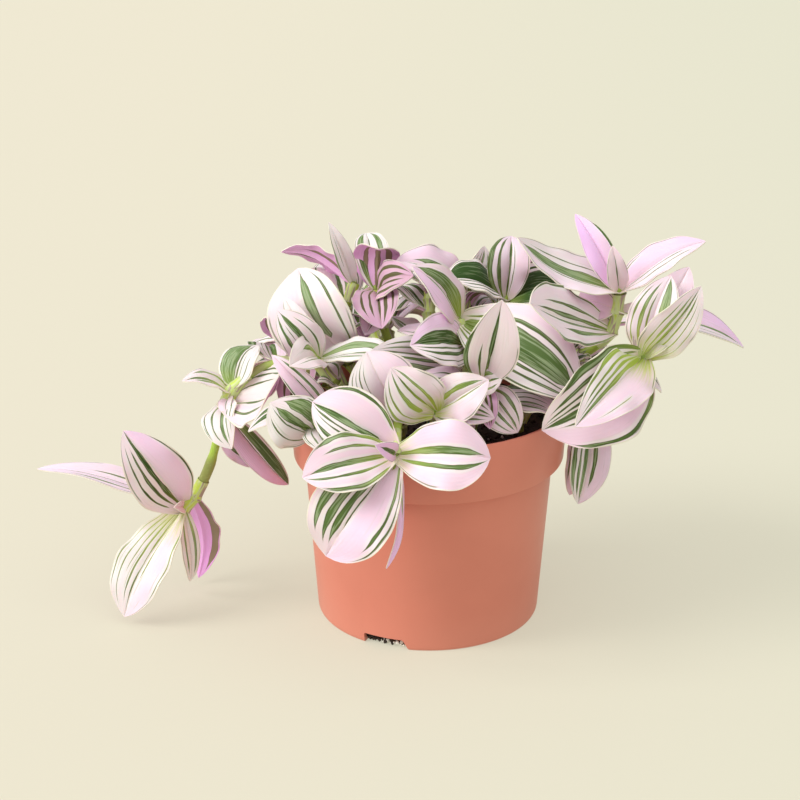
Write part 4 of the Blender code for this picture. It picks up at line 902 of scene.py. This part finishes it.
def leafUpperFinish():
    c, d = foliageColours, upperFinish
    material, tree, shader = newMaterial("leafUpper")
    p = leafPattern(tree)
    pinker = plus(tree, p["pink"], times(tree, minus(tree, p["cloud"], 0.5), d["pinkClouds"]), True)
    pinker = times(tree, pinker, ramp(tree, p["surround"], *d["pinkByStripe"]))
    colour = mixColour(tree, pinker, c["white"], c["pink"])
    towardsTip = times(tree, p["lilac"], ramp(tree, p["along"], *d["lilacToTip"]))
    flushed = times(tree, towardsTip, ramp(tree, p["surround"], *d["lilacByStripe"]), True)
    colour = mixColour(tree, flushed, colour, c["lilac"])
    # Dusky darkening: partly the leaf's own plum tone, partly painted shade on leaves that lie in shadow
    colour = mixColour(tree, times(tree, p["duskAndShade"], d["duskAndShade"]), colour, c["duskAndShadePink"])
    more, least = d["blush"]
    atBase = plus(tree, times(tree, ramp(tree, p["along"], *d["blushAtBase"]), more), least)
    colour = mixColour(tree, times(tree, p["blush"], atBase), colour, c["blush"])
    more, least = d["freshReach"]
    reach = plus(tree, times(tree, p["fresh"], more), least)
    freshness = times(tree, ramp(tree, p["along"], 0.0, reach, 1.0, 0.0), p["fresh"])
    yellowed = times(tree, freshness, ramp(tree, p["silver"], *d["freshStreaks"]))
    colour = mixColour(tree, yellowed, colour, c["yellowBase"])
    for part, strength, over in d["over"]:
        colour = mixColour(tree, times(tree, p[part], strength), colour, c[over])
    silver = minus(tree, ramp(tree, p["silver"], *d["silver"]), p["depth"])
    green = mixColour(tree, ramp(tree, p["depth"], *d["deep"]), c["midGreen"], c["darkGreen"])
    green = mixColour(tree, ramp(tree, silver, *d["silverShare"]), green, c["silverGreen"])
    # Stripe edges, then the dusky stripe colour, which is partly painted shade
    for part, strength, over in d["inStripe"]:
        green = mixColour(tree, times(tree, p[part], strength), green, c[over])
    further = ramp(tree, p["along"], 0.0, times(tree, reach, d["stripeFreshReach"]), d["stripeFresh"], 0.0)
    green = mixColour(tree, times(tree, further, p["fresh"]), green, c["yellowBase"])
    colour = mixColour(tree, times(tree, p["hem"], d["hem"]), colour, c["midGreen"])
    colour = mixColour(tree, p["mask"], colour, green)
    finishLeaf(tree, shader, p, colour, d)
    return material


def leafUnderFinish():
    c, d = foliageColours, underFinish
    material, tree, shader = newMaterial("leafUnder")
    p = leafPattern(tree)
    bright = plus(tree, times(tree, p["lilac"], d["lilac"]), times(tree, p["cloud"], d["clouds"]), True)
    colour = mixColour(tree, bright, c["underPink"], c["underMagenta"])
    colour = mixColour(tree, times(tree, p["lines"], d["lines"]), colour, c["underEdge"])
    olive = mixColour(tree, times(tree, p["edge"], d["edge"]), c["underOlive"], c["underEdge"])
    colour = mixColour(tree, times(tree, p["mask"], d["stripe"]), colour, olive)
    finishLeaf(tree, shader, p, colour, d)
    return material


stemSkin = {
    "roughness": 0.38, "grainNoise": (900.0, 3.0), "patchNoise": (90.0, 2.0), "patches": (0.5, 0.75),
    "grain": (0.55, 0.75, 0.0, 0.35), "ring": 0.7,
    "subsurface": 0.1, "scatter": (0.8, 1.0, 0.3), "scatterScale": 0.002, "bump": (0.25, 0.0003),
}
sheathSkin = {
    "roughness": 0.45, "lines": (14.0, 0.8), "pale": (0.35, 0.5), "purple": (0.56, 0.64, 0.0, 0.7),
    "bump": (0.4, 0.0002),
}


def stemFinish():
    c, d = foliageColours, stemSkin
    material, tree, shader = newMaterial("stemSkin", d["roughness"])
    bright, ring, aged, _ = readBlade(tree, "ground")
    place = objectPlace(tree)
    grain = placedNoise(tree, place, *d["grainNoise"])
    patches = placedNoise(tree, place, *d["patchNoise"])
    colour = mixColour(tree, bright, c["stemOlive"], c["stemBright"])
    colour = mixColour(tree, times(tree, ramp(tree, patches, *d["patches"]), aged), colour, c["stemPurple"])
    colour = mixColour(tree, ramp(tree, grain, *d["grain"]), colour, c["sheath"])
    colour = mixColour(tree, times(tree, ring, d["ring"]), colour, c["stemRing"])
    paint(tree, shader, colour)
    setFlesh(shader, d["subsurface"], d["scatter"], d["scatterScale"])
    addBump(tree, shader, grain, *d["bump"])
    return material


def sheathFinish():
    c, d = foliageColours, sheathSkin
    material, tree, shader = newMaterial("sheathSkin", d["roughness"])
    across, along = bladePlace(tree)
    seed, _, _, _ = readBlade(tree, "nature")
    count, stretch = d["lines"]
    inputs = {"Across": across, "Along": along, "Seed": seed, "Count": count, "Stretch": stretch}
    lines = placeGroup(tree, streaks, inputs)["Value"]
    colour = mixColour(tree, ramp(tree, lines, *d["pale"]), c["yellowBase"], c["sheath"])
    colour = mixColour(tree, ramp(tree, lines, *d["purple"]), colour, c["stemPurple"])
    paint(tree, shader, colour)
    addBump(tree, shader, lines, *d["bump"])
    return material


foliageMaterials = [leafUpperFinish(), leafUnderFinish(), stemFinish(), sheathFinish()]
upperSlot, underSlot, stemSlot, sheathSlot = range(4)
print("foliage materials ready")


# Leaves

bladeDetail = {
    "columns": 18, "rows": 30, "youngColumns": 10, "youngRows": 18, "youngLength": 26.0,
    "thickness": 0.45, "tipWidth": 0.3, "lowest": 0.5,
    "dish": 1.4,  # power of the rise from the midrib to the margins
    "clasp": 0.55, "claspReach": 0.07,  # how far a blade's foot wraps the stem
    "groove": 0.45, "grooveWidth": 0.07, "grooveFull": 4.0,  # half width from which the groove is full
    "puff": 0.1, "puffTo": 1.1,  # soft swelling of each half between midrib and margin
    "waves": (1.6, 3.8), "waveJitter": 0.7, "waveWidth": 26.0, "waveOffset": 1.7,
    "twist": 0.14, "leaning": 0.07,  # how much wider one half is than the other
    "curlFrom": 0.7, "curl": 0.35,  # where a tip starts to curl down, and how strongly
    "stripeGrowth": 1.15, "blendFrom": 0.3, "blendOver": 0.4,  # where the left ground turns into the right
}
drawnMarks = {  # ranges and choices for leaves that the photograph doesn't show
    "first": (0.04, 0.12), "last": 0.97, "widths": (0.014, 0.02, 0.03, 0.045, 0.07), "spacing": (0.05, 0.13),
    "starts": (0, 0.12), "ends": (0.8, 1.08), "plainFrom": 0.08, "stray": 0.2,
    "pink": (0.15, 0.6), "pinkStep": (-0.2, 0.3), "lilacs": ((0, 0), (0, 0.3), (0.3, 0.1)),
    "blushes": (0, 0.1, 0.3), "depth": (0.25, 0.8), "fine": (0.1, 0.5), "wave": (0.5, 1.3),
}


def drawnLook(draw):
    d = drawnMarks
    plainSide = draw.choice((-1, 0, 1))
    stripes = []
    middle = draw.uniform(*d["first"])
    while middle < d["last"] and len(stripes) < stripeCount:
        width = draw.choice(d["widths"])
        onPlain = (middle - 0.5) * plainSide > d["plainFrom"]
        if not onPlain or draw.random() < d["stray"]:
            stripes.append((middle, width, draw.uniform(*d["starts"]), draw.uniform(*d["ends"])))
        middle += width * 2 + draw.uniform(*d["spacing"])
    pink = draw.uniform(*d["pink"])
    pinks = (pink, min(1, pink + draw.uniform(*d["pinkStep"])))
    lilacs, blush = draw.choice(d["lilacs"]), draw.choice(d["blushes"])
    depth, fine, wave = (draw.uniform(*d[key]) for key in ("depth", "fine", "wave"))
    return marks(tuple(stripes), pinks, lilacs, blush, depth, fine, wave)


def addBlade(bm, layers, leaf, look, draw):
    d = bladeDetail
    base, tip, width, widest, _, _ = leaf
    length = (tip - base).length
    young = length < d["youngLength"]
    columns, rows = (d["youngColumns"], d["youngRows"]) if young else (d["columns"], d["rows"])
    verts = bmesh.ops.create_grid(bm, x_segments=columns, y_segments=rows, size=1, calc_uvs=True)["verts"]
    faces = list({face for vert in verts for face in vert.link_faces})
    waves, phase = draw.uniform(*d["waves"]), draw.uniform(0, math.tau)
    height = look["wave"] * width / d["waveWidth"] * draw.uniform(d["waveJitter"], 1 / d["waveJitter"])
    twist = look["twist"] + draw.uniform(-d["twist"], d["twist"])
    leaning = draw.uniform(-d["leaning"], d["leaning"])
    seed = draw.random()
    stripes = [*look["stripes"], *[noStripe] * (stripeCount - len(look["stripes"]))]
    for vert in verts:
        across, t = vert.co.x, (vert.co.y + 1) / 2
        middle, side, tangent, _ = bladeFrame(leaf, t)
        half = max(width / 2 * outlineShare(t, widest), d["tipWidth"] / 2)
        half *= 1 + leaning * (1 if across > 0 else -1)
        lift = side.cross(tangent)
        turn = Matrix.Rotation(twist * t * t, 3, tangent)
        far = abs(across)
        rise = layout["marginRise"] * half * far ** d["dish"]
        rise += d["clasp"] * half * far**2 * math.exp(-t / d["claspReach"])
        rise += look["fold"] * half * far * (1 - t) ** 2
        rise -= d["curl"] * length * max(0, t - d["curlFrom"]) ** 2
        rise += d["puff"] * half * math.sin(math.pi * far) * math.sin(math.pi * min(1, t * d["puffTo"]))
        rise -= d["groove"] * math.exp(-((across / d["grooveWidth"]) ** 2)) * min(1, half / d["grooveFull"])
        ripple = math.sin(math.tau * waves * t + phase + (d["waveOffset"] if across > 0 else 0))
        rise += height * ripple * far**3 * math.sin(math.pi * t)
        vert.co = middle + turn @ (side * (across * half) + lift * rise)
        vert.co.z = max(vert.co.z, d["lowest"])
        lean = min(1, max(0, (across / 2 + 0.5 - d["blendFrom"]) / d["blendOver"]))
        pink, lilac = (left + (right - left) * lean for left, right in (look["pink"], look["lilac"]))
        vert[layers["ground"]] = (pink, lilac, look["blush"], look["depth"])
        # The fourth number is the dusky darkening, partly painted shade
        vert[layers["nature"]] = (seed, look["fine"], look["fresh"], look["duskAndShade"])
        for name, (centre, reach, start, end) in zip(stripeNames, stripes):
            vert[layers[name]] = (centre, reach * d["stripeGrowth"], start, end)
    bm.normal_update()
    for vert in verts:
        vert.co += vert.normal * (d["thickness"] / 2)
    upperFaces = set(faces)
    before = len(bm.faces)
    bmesh.ops.solidify(bm, geom=faces, thickness=d["thickness"])
    bm.faces.ensure_lookup_table()
    for face in bm.faces[before:]:
        isRim = any(other in upperFaces for edge in face.edges for other in edge.link_faces)
        face.material_index = upperSlot if isRim else underSlot
    for face in upperFaces:
        face.material_index = upperSlot


# Stems

stemDetail = {
    "around": 14, "step": 2.2, "fewestSteps": 4, "tipLength": 5.0, "tipLeast": 0.08,
    "tooSideways": 0.9,  # past this share of X, the side vector starts from Y
    "swell": 0.55, "swellReach": 1.6, "ringReach": 0.9,
    "fresh": (0.25, 0.9), "aged": 0.8,  # the tip is fresh and the foot is aged
    "hangingBelow": 71.0, "hangingFade": 4.0, "hangingTone": 0.15, "hangingGirth": 1.3,  # older, thicker part
    "sheathLength": 8.0, "sheathLeast": 2, "sheathGap": 0.3, "sheathStep": 0.14, "sheathSteps": 3,
    "sheathWall": 0.22, "sheathFlare": 0.5, "sheathAround": 16, "sheathRows": 6, "sheathTone": (0.8, 0, 0.2),
}


def routeFrames(points):  # tangents and a side vector carried along without twist
    tangents = []
    for k in range(len(points)):
        a, b = points[max(0, k - 1)], points[min(len(points) - 1, k + 1)]
        tangents.append((b - a).normalized())
    side = Vector((1, 0, 0)) if abs(tangents[0].x) < stemDetail["tooSideways"] else Vector((0, 1, 0))
    sides = []
    for tangent in tangents:
        side = (side - tangent * side.dot(tangent)).normalized()
        sides.append(side.copy())
    return tangents, sides


def addTube(bm, layers, points, radii, around, tones, slot, seed, wall=0):
    tangents, sides = routeFrames(points)
    last = len(points) - 1
    verts = bmesh.ops.create_grid(bm, x_segments=around, y_segments=last, size=1, calc_uvs=True)["verts"]
    faces = list({face for vert in verts for face in vert.link_faces})
    for vert in verts:
        k = round((vert.co.y + 1) / 2 * last)
        angle = math.pi * vert.co.x
        across = tangents[k].cross(sides[k])
        out = sides[k] * math.cos(angle) + across * math.sin(angle)
        vert.co = points[k] + out * radii[k]
        vert[layers["ground"]] = (*tones[k], 1)
        vert[layers["nature"]] = (seed, 0, 0, 1)
    bmesh.ops.remove_doubles(bm, verts=verts, dist=smallGap)
    faces = [face for face in faces if face.is_valid]
    bmesh.ops.recalc_face_normals(bm, faces=faces)
    before = len(bm.faces)
    if wall:
        bmesh.ops.solidify(bm, geom=faces, thickness=wall)
    else:
        rims = [edge for face in faces for edge in face.edges if edge.is_boundary]
        bmesh.ops.holes_fill(bm, edges=list(set(rims)), sides=around)
    bm.faces.ensure_lookup_table()
    for face in [*faces, *bm.faces[before:]]:
        face.material_index = slot


def resampled(route, step):
    length = sum((b - a).length for a, b in zip(route, route[1:]))
    count = max(stemDetail["fewestSteps"], round(length / step))
    return [pointAlong(route, k / count) for k in range(count + 1)], length / count


def nearestIndex(points, place):
    return min(range(len(points)), key=lambda k: (points[k] - place).length_squared)


def stemShape(points, spacing, nodes):  # the radius and the tones at each point
    d = stemDetail
    last = len(points) - 1
    youngest, older = d["fresh"]
    radii, tones = [], []
    for k, point in enumerate(points):
        share = k / last
        near = min(abs(k - node) * spacing for node in nodes)
        hanging = 0
        if point.xy.length > potPlan["rimRadius"]:
            hanging = max(0, min(1, (d["hangingBelow"] - point.z) / d["hangingFade"]))
        radius = layout["stemRadius"] + (layout["tipRadius"] - layout["stemRadius"]) * share
        radius *= 1 + (d["hangingGirth"] - 1) * hanging
        radius += d["swell"] * math.exp(-((near / d["swellReach"]) ** 2))
        toTip = (last - k) * spacing
        if toTip < d["tipLength"]:
            radius *= max(d["tipLeast"], math.sin(math.pi / 2 * toTip / d["tipLength"]))
        radii.append(radius)
        fresh = min(1, youngest + share * older) * (1 - (1 - d["hangingTone"]) * hanging)
        tones.append((fresh, math.exp(-((near / d["ringReach"]) ** 2)), max(0, d["aged"] - share)))
    return radii, tones


def addStem(bm, layers, route, bases, draw):
    d = stemDetail
    points, spacing = resampled(route, d["step"])
    last = len(points) - 1
    nodes = sorted({nearestIndex(points, base) for base in bases})
    radii, tones = stemShape(points, spacing, nodes)
    addTube(bm, layers, points, radii, d["around"], tones, stemSlot, draw.random())
    reach = max(d["sheathLeast"], round(d["sheathLength"] / spacing))
    outOfSoil = nearestIndex(points, Vector((*route[0].xy, layout["soilLevel"])))
    for order, node in enumerate(nodes):
        first = max(1, node - reach)
        if points[first].z < layout["soilLevel"] and node < last:
            first = min(node - d["sheathLeast"], max(first, outOfSoil))
        if first < 1:
            continue
        part, _ = resampled(points[first:node + 1], d["sheathLength"] / d["sheathRows"])
        gap = d["sheathGap"] + d["sheathStep"] * (order % d["sheathSteps"])
        wide = []
        for j in range(len(part)):
            rise = j / (len(part) - 1)
            stem = radii[min(last, first + round(rise * (node - first)))]
            wide.append(stem + gap + d["sheathFlare"] * rise**3)
        tint = [d["sheathTone"]] * len(part)
        addTube(bm, layers, part, wide, d["sheathAround"], tint, sheathSlot, draw.random(), d["sheathWall"])


def meshFrom(bm, name):  # the shape in metres
    bmesh.ops.scale(bm, vec=(mm, mm, mm), verts=bm.verts)
    mesh = bpy.data.meshes.new(name)
    bm.to_mesh(mesh)
    bm.free()
    return mesh


def smoothOver(mesh, smoothAngle):
    mesh.shade_smooth()
    mesh.set_sharp_from_angle(angle=math.radians(smoothAngle))


def pieceFrom(bm, name, materials, smoothAngle):
    mesh = meshFrom(bm, name)
    for material in materials:
        mesh.materials.append(material)
    smoothOver(mesh, smoothAngle)
    piece = bpy.data.objects.new(name, mesh)
    bpy.context.scene.collection.objects.link(piece)
    return piece


def dress(piece, slot, *nodes):
    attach(piece, "root")
    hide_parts(*nodes)


foliage = {"seed": 23, "smoothAngle": 50}


def buildFoliage():
    draw = random.Random(foliage["seed"])
    for node, (route, leaves) in laid.items():
        bm = bmesh.new()
        bm.loops.layers.uv.new(bladeMap)
        floats = bm.verts.layers.float_color
        names = ("ground", "nature", *stripeNames)
        for name in names:
            floats.new(name)
        layers = {name: floats[name] for name in names}
        for leaf, look in leaves:
            addBlade(bm, layers, leaf, leafLooks[look] if look else drawnLook(draw), draw)
        addStem(bm, layers, route, [leaf[0] for leaf, _ in leaves], draw)
        name = "leafy" + "".join(word.capitalize() for word in node.split("_"))
        dress(pieceFrom(bm, name, foliageMaterials, foliage["smoothAngle"]), "foliage", node)
    print("foliage built")


buildFoliage()


# Pot

potDetail = {
    "steps": 144, "rimArc": 5, "rimRound": 0.55, "smoothAngle": 32,
    "padStep": 1.0, "fillet": 0.6, "floorCorner": 2.0, "ringInside": 1.6,
    # Rounded corners on the outside: steps out and up from a corner of the plan
    "collarFoot": ((0.05, 0.7), (-0.15, 0.2), (-0.6, 0)), "underCollar": ((0.6, 0), (0.1, -0.4)),
    "footCorner": ((0.1, 1.8), (-0.05, 0.9), (-0.4, 0.25), (-1.0, 0)),
    "notchRoom": 4.0, "notchRound": 0.8, "notchRoundSteps": 4,
    "notchSlope": 5.0,  # how far a notch's one side leans out below
    "drainSteps": 32, "drainDepth": 16.0,
    "colour": linear("#D5806B"), "shade": linear("#C77662"), "scuff": linear("#DC9985"),
    "blotchNoise": (26.0, 3.0), "blotches": (0.35, 0.7, 0.0, 0.35), "scuffHeight": (0.0, 0.02, 0.3, 0.0),
    "roughness": (0.3, 0.7, 0.4, 0.52), "grainNoise": (1400.0, 2.0), "bump": (0.12, 0.0002),
}


def stepsFrom(radius, z, steps):
    return [(radius + out, z + rise) for out, rise in steps]


def potProfile():  # radius and height, from the middle of the floor's upper side round to below
    p, d = potPlan, potDetail
    wall, floor = p["wall"], p["floorRise"] + p["wall"]
    base, body, collar, pad = (p[key] for key in ("baseRadius", "bodyRadius", "collarRadius", "padRadius"))
    r, fillet, corner = d["rimRound"], d["fillet"], d["floorCorner"]
    lip = p["rimRadius"] - wall / 2
    rimArc = []
    for k in range(d["rimArc"] + 1):
        turn = math.pi * (1 - k / d["rimArc"])
        rimArc.append((lip + wall / 2 * math.cos(turn), p["height"] - r + r * math.sin(turn)))
    return [
        (0, wall), (pad - d["padStep"], wall), (pad + d["padStep"], floor),
        (base - wall - corner, floor), (base - wall - fillet, floor + fillet), (base - wall, floor + corner),
        (body - wall, p["collarZ"] - fillet), (body - wall + fillet, p["collarZ"] + wall),
        (collar - wall, p["collarZ"] + wall + fillet),
        *rimArc,
        *stepsFrom(collar, p["collarZ"], d["collarFoot"]), *stepsFrom(body, p["collarZ"], d["underCollar"]),
        *stepsFrom(base, 0, d["footCorner"]),
        (base - p["footWidth"], 0), (base - p["footWidth"] - fillet, p["floorRise"]),
        (pad + d["ringInside"], p["floorRise"]), (pad, 0), (0, 0),
    ]


def potFinish():
    d = potDetail
    material, tree, shader = newMaterial("terracottaPlastic")
    place = objectPlace(tree)
    blotches = placedNoise(tree, place, *d["blotchNoise"])
    grain = placedNoise(tree, place, *d["grainNoise"])
    height = addNode(tree, "ShaderNodeSeparateXYZ", {0: place}).outputs["Z"]
    colour = mixColour(tree, ramp(tree, blotches, *d["blotches"]), d["colour"], d["shade"])
    low = ramp(tree, height, *d["scuffHeight"])
    colour = mixColour(tree, times(tree, low, blotches), colour, d["scuff"])
    paint(tree, shader, colour, ramp(tree, blotches, *d["roughness"]))
    addBump(tree, shader, grain, *d["bump"])
    return material


def addCutter(bm, name, collection):
    collection.objects.link(bpy.data.objects.new(name, meshFrom(bm, name)))


def notchCutter(heading):
    p, d = potPlan, potDetail
    bm = bmesh.new()
    bmesh.ops.create_cube(bm, size=1)
    size = (p["footWidth"] + d["notchRoom"], p["notchWidth"], 2 * p["notchHeight"])
    bmesh.ops.scale(bm, vec=size, verts=bm.verts)
    for vert in bm.verts:
        if vert.co.z < 0 < vert.co.y:
            vert.co.y += d["notchSlope"]
    corners = [edge for edge in bm.edges if abs(edge.verts[0].co.x - edge.verts[1].co.x) > 1]
    bmesh.ops.bevel(
        bm, geom=corners, offset=d["notchRound"], segments=d["notchRoundSteps"],
        affect="EDGES", profile=0.5, material=-1,
    )
    bmesh.ops.translate(bm, vec=(p["baseRadius"] - p["footWidth"] / 2, 0, 0), verts=bm.verts)
    bmesh.ops.transform(bm, matrix=Matrix.Rotation(math.radians(heading), 4, "Z"), verts=bm.verts)
    return bm


def drainCutter(heading):
    p, d = potPlan, potDetail
    bm = bmesh.new()
    bmesh.ops.create_cone(
        bm, cap_ends=True, segments=d["drainSteps"], radius1=p["drainRadius"], radius2=p["drainRadius"],
        depth=d["drainDepth"], matrix=Matrix.Translation(headingVector(heading) * p["drainCircle"]),
    )
    return bm


def buildPot():
    p, d = potPlan, potDetail
    piece = pieceFrom(spunShape(potProfile(), d["steps"]), "nurseryPot", [potFinish()], d["smoothAngle"])
    cutters = bpy.data.collections.new("potCutters")
    bpy.context.scene.collection.children.link(cutters)
    for k in range(p["notches"]):
        addCutter(notchCutter(p["notchHeading"] + k * 360 / p["notches"]), f"notchCutter{k + 1}", cutters)
    for k in range(p["drains"]):
        heading = p["notchHeading"] + (k + 0.5) * 360 / p["drains"]
        addCutter(drainCutter(heading), f"drainCutter{k + 1}", cutters)
    cut = piece.modifiers.new("Openings", "BOOLEAN")
    cut.operation = "DIFFERENCE"
    cut.operand_type = "COLLECTION"
    cut.collection = cutters
    graph = bpy.context.evaluated_depsgraph_get()
    mesh = bpy.data.meshes.new_from_object(piece.evaluated_get(graph))
    piece.modifiers.clear()
    piece.data = mesh
    smoothOver(mesh, d["smoothAngle"])
    for helper in list(cutters.objects):
        bpy.data.objects.remove(helper)
    bpy.data.collections.remove(cutters)
    dress(piece, "pot", "pot")
    print("pot built")


buildPot()


# Soil

soilDetail = {
    "seed": 5, "steps": 96, "edgeGap": 0.4, "rows": 26, "edgeDrop": 2.5, "edgePower": 4,
    "shoulder": 1.2, "floorCorner": 2.0, "padInside": 1.4, "padOutside": 0.6,
    "lump": 1.6, "lumpScale": 0.16, "lumpFade": 4.0, "lumpNoise": (1.0, 2.0, 4), "topMargin": 0.1,
    "smoothAngle": 40,
    # Loose grains on top: (material, count, sizes)
    "grains": ((0, 420, (0.5, 1.7)), (1, 70, (0.6, 1.5))), "grainRise": 0.3, "grainJitter": (0.7, 1.15),
    "edgeRoom": 2.0,
    # Grains under the pot behind the notch: spilled soil, heaped dark so that it also stands in as painted
    # shade for the space under the pot: (count, material, headings from the notch's middle, heap)
    "spilledAndShade": ((260, 0, (-12.5, 1.5), 3.0), (110, 1, (-1.0, 12.5), 1.2), (40, 0, (0.0, 12.5), 1.5)),
    "spilledAndShadeReach": (37.5, 46.5), "spilledAndShadeSize": (0.5, 1.1), "spilledAndShadeLift": 1.2,
    "peat": linear("#2B2019"), "peatLight": linear("#4A3A2C"), "perliteColour": linear("#E9E6DC"),
    "peatRoughness": 0.95, "perliteRoughness": 0.8,
    "peatNoise": (420.0, 5.0), "peatMix": (0.4, 0.75), "peatBump": (0.8, 0.001),
    "perliteNoise": (1500.0, 2.0), "perliteMix": (0.45, 0.7, 0.0, 0.4),
}


def soilFinish():
    d = soilDetail
    peat, tree, shader = newMaterial("peat", d["peatRoughness"])
    crumbs = placedNoise(tree, objectPlace(tree), *d["peatNoise"])
    colour = mixColour(tree, ramp(tree, crumbs, *d["peatMix"]), d["peat"], d["peatLight"])
    paint(tree, shader, colour)
    addBump(tree, shader, crumbs, *d["peatBump"])
    perlite, tree, shader = newMaterial("perlite", d["perliteRoughness"])
    dust = placedNoise(tree, objectPlace(tree), *d["perliteNoise"])
    colour = mixColour(tree, ramp(tree, dust, *d["perliteMix"]), d["perliteColour"], d["peatLight"])
    paint(tree, shader, colour)
    return [peat, perlite]


def addGrain(bm, place, size, slot, draw):
    made = bmesh.ops.create_icosphere(bm, subdivisions=1, radius=size)["verts"]
    for vert in made:
        vert.co *= draw.uniform(*soilDetail["grainJitter"])
    bmesh.ops.translate(bm, vec=place, verts=made)
    for face in {face for vert in made for face in vert.link_faces}:
        face.material_index = slot


def soilLump(place, reach, edge):
    d = soilDetail
    fade = max(0, min(1, (edge - reach) / d["lumpFade"]))
    return d["lump"] * noise.fractal(place * d["lumpScale"], *d["lumpNoise"]) * fade


def soilProfile(edge):  # radius and height, from the middle of the top down to the floor's middle
    d, p = soilDetail, potPlan
    gap, wall, floor = d["edgeGap"], p["wall"], p["floorRise"] + p["wall"] + d["edgeGap"]
    rows = d["rows"]
    drops = [d["edgeDrop"] * (k / rows) ** d["edgePower"] for k in range(rows + 1)]
    top = [(edge * k / rows, p["soilTop"] - drop) for k, drop in enumerate(drops)]
    return top + [
        (p["collarRadius"] - wall - gap, p["collarZ"] + wall + d["shoulder"]),
        (p["bodyRadius"] - wall - gap, p["collarZ"] + wall + gap),
        (p["baseRadius"] - wall - gap, floor + d["floorCorner"]),
        (p["baseRadius"] - wall - gap - d["floorCorner"], floor),
        (p["padRadius"] + d["padOutside"], floor), (p["padRadius"] - d["padInside"], wall + gap),
        (0, wall + gap),
    ]


def buildSoil():
    d, p = soilDetail, potPlan
    draw = random.Random(d["seed"])
    topShare = (p["soilTop"] - p["collarZ"]) / (p["height"] - p["collarZ"])
    edge = p["collarRadius"] + (p["rimRadius"] - p["collarRadius"]) * topShare - p["wall"] - 2 * d["edgeGap"]
    bm = spunShape(soilProfile(edge), d["steps"])
    lowestTop = p["soilTop"] - d["edgeDrop"] - d["topMargin"]
    for vert in bm.verts:
        if vert.co.z > lowestTop:
            vert.co.z += soilLump(vert.co, math.hypot(vert.co.x, vert.co.y), edge)
    for slot, count, sizes in d["grains"]:
        for _ in range(count):
            reach, heading = (edge - d["edgeRoom"]) * math.sqrt(draw.random()), draw.uniform(0, 360)
            size = draw.uniform(*sizes)
            place = headingVector(heading) * reach
            lump = soilLump(Vector((place.x, place.y, p["soilTop"])), reach, edge)
            drop = d["edgeDrop"] * (reach / edge) ** d["edgePower"]
            place.z = p["soilTop"] - drop + lump + size * d["grainRise"]
            addGrain(bm, place, size, slot, draw)
    # Spilled soil behind the notch; its dark peat heap is also painted shade under the pot
    for count, slot, headings, heap in d["spilledAndShade"]:
        for _ in range(count):
            size = draw.uniform(*d["spilledAndShadeSize"])
            heading = p["notchHeading"] + draw.uniform(*headings)
            place = headingVector(heading) * draw.uniform(*d["spilledAndShadeReach"])
            place.z = size * d["spilledAndShadeLift"] + heap * draw.random()
            addGrain(bm, place, size, slot, draw)
    dress(pieceFrom(bm, "peatSoil", soilFinish(), d["smoothAngle"]), "soil", "soil")
    print("soil built")


buildSoil()
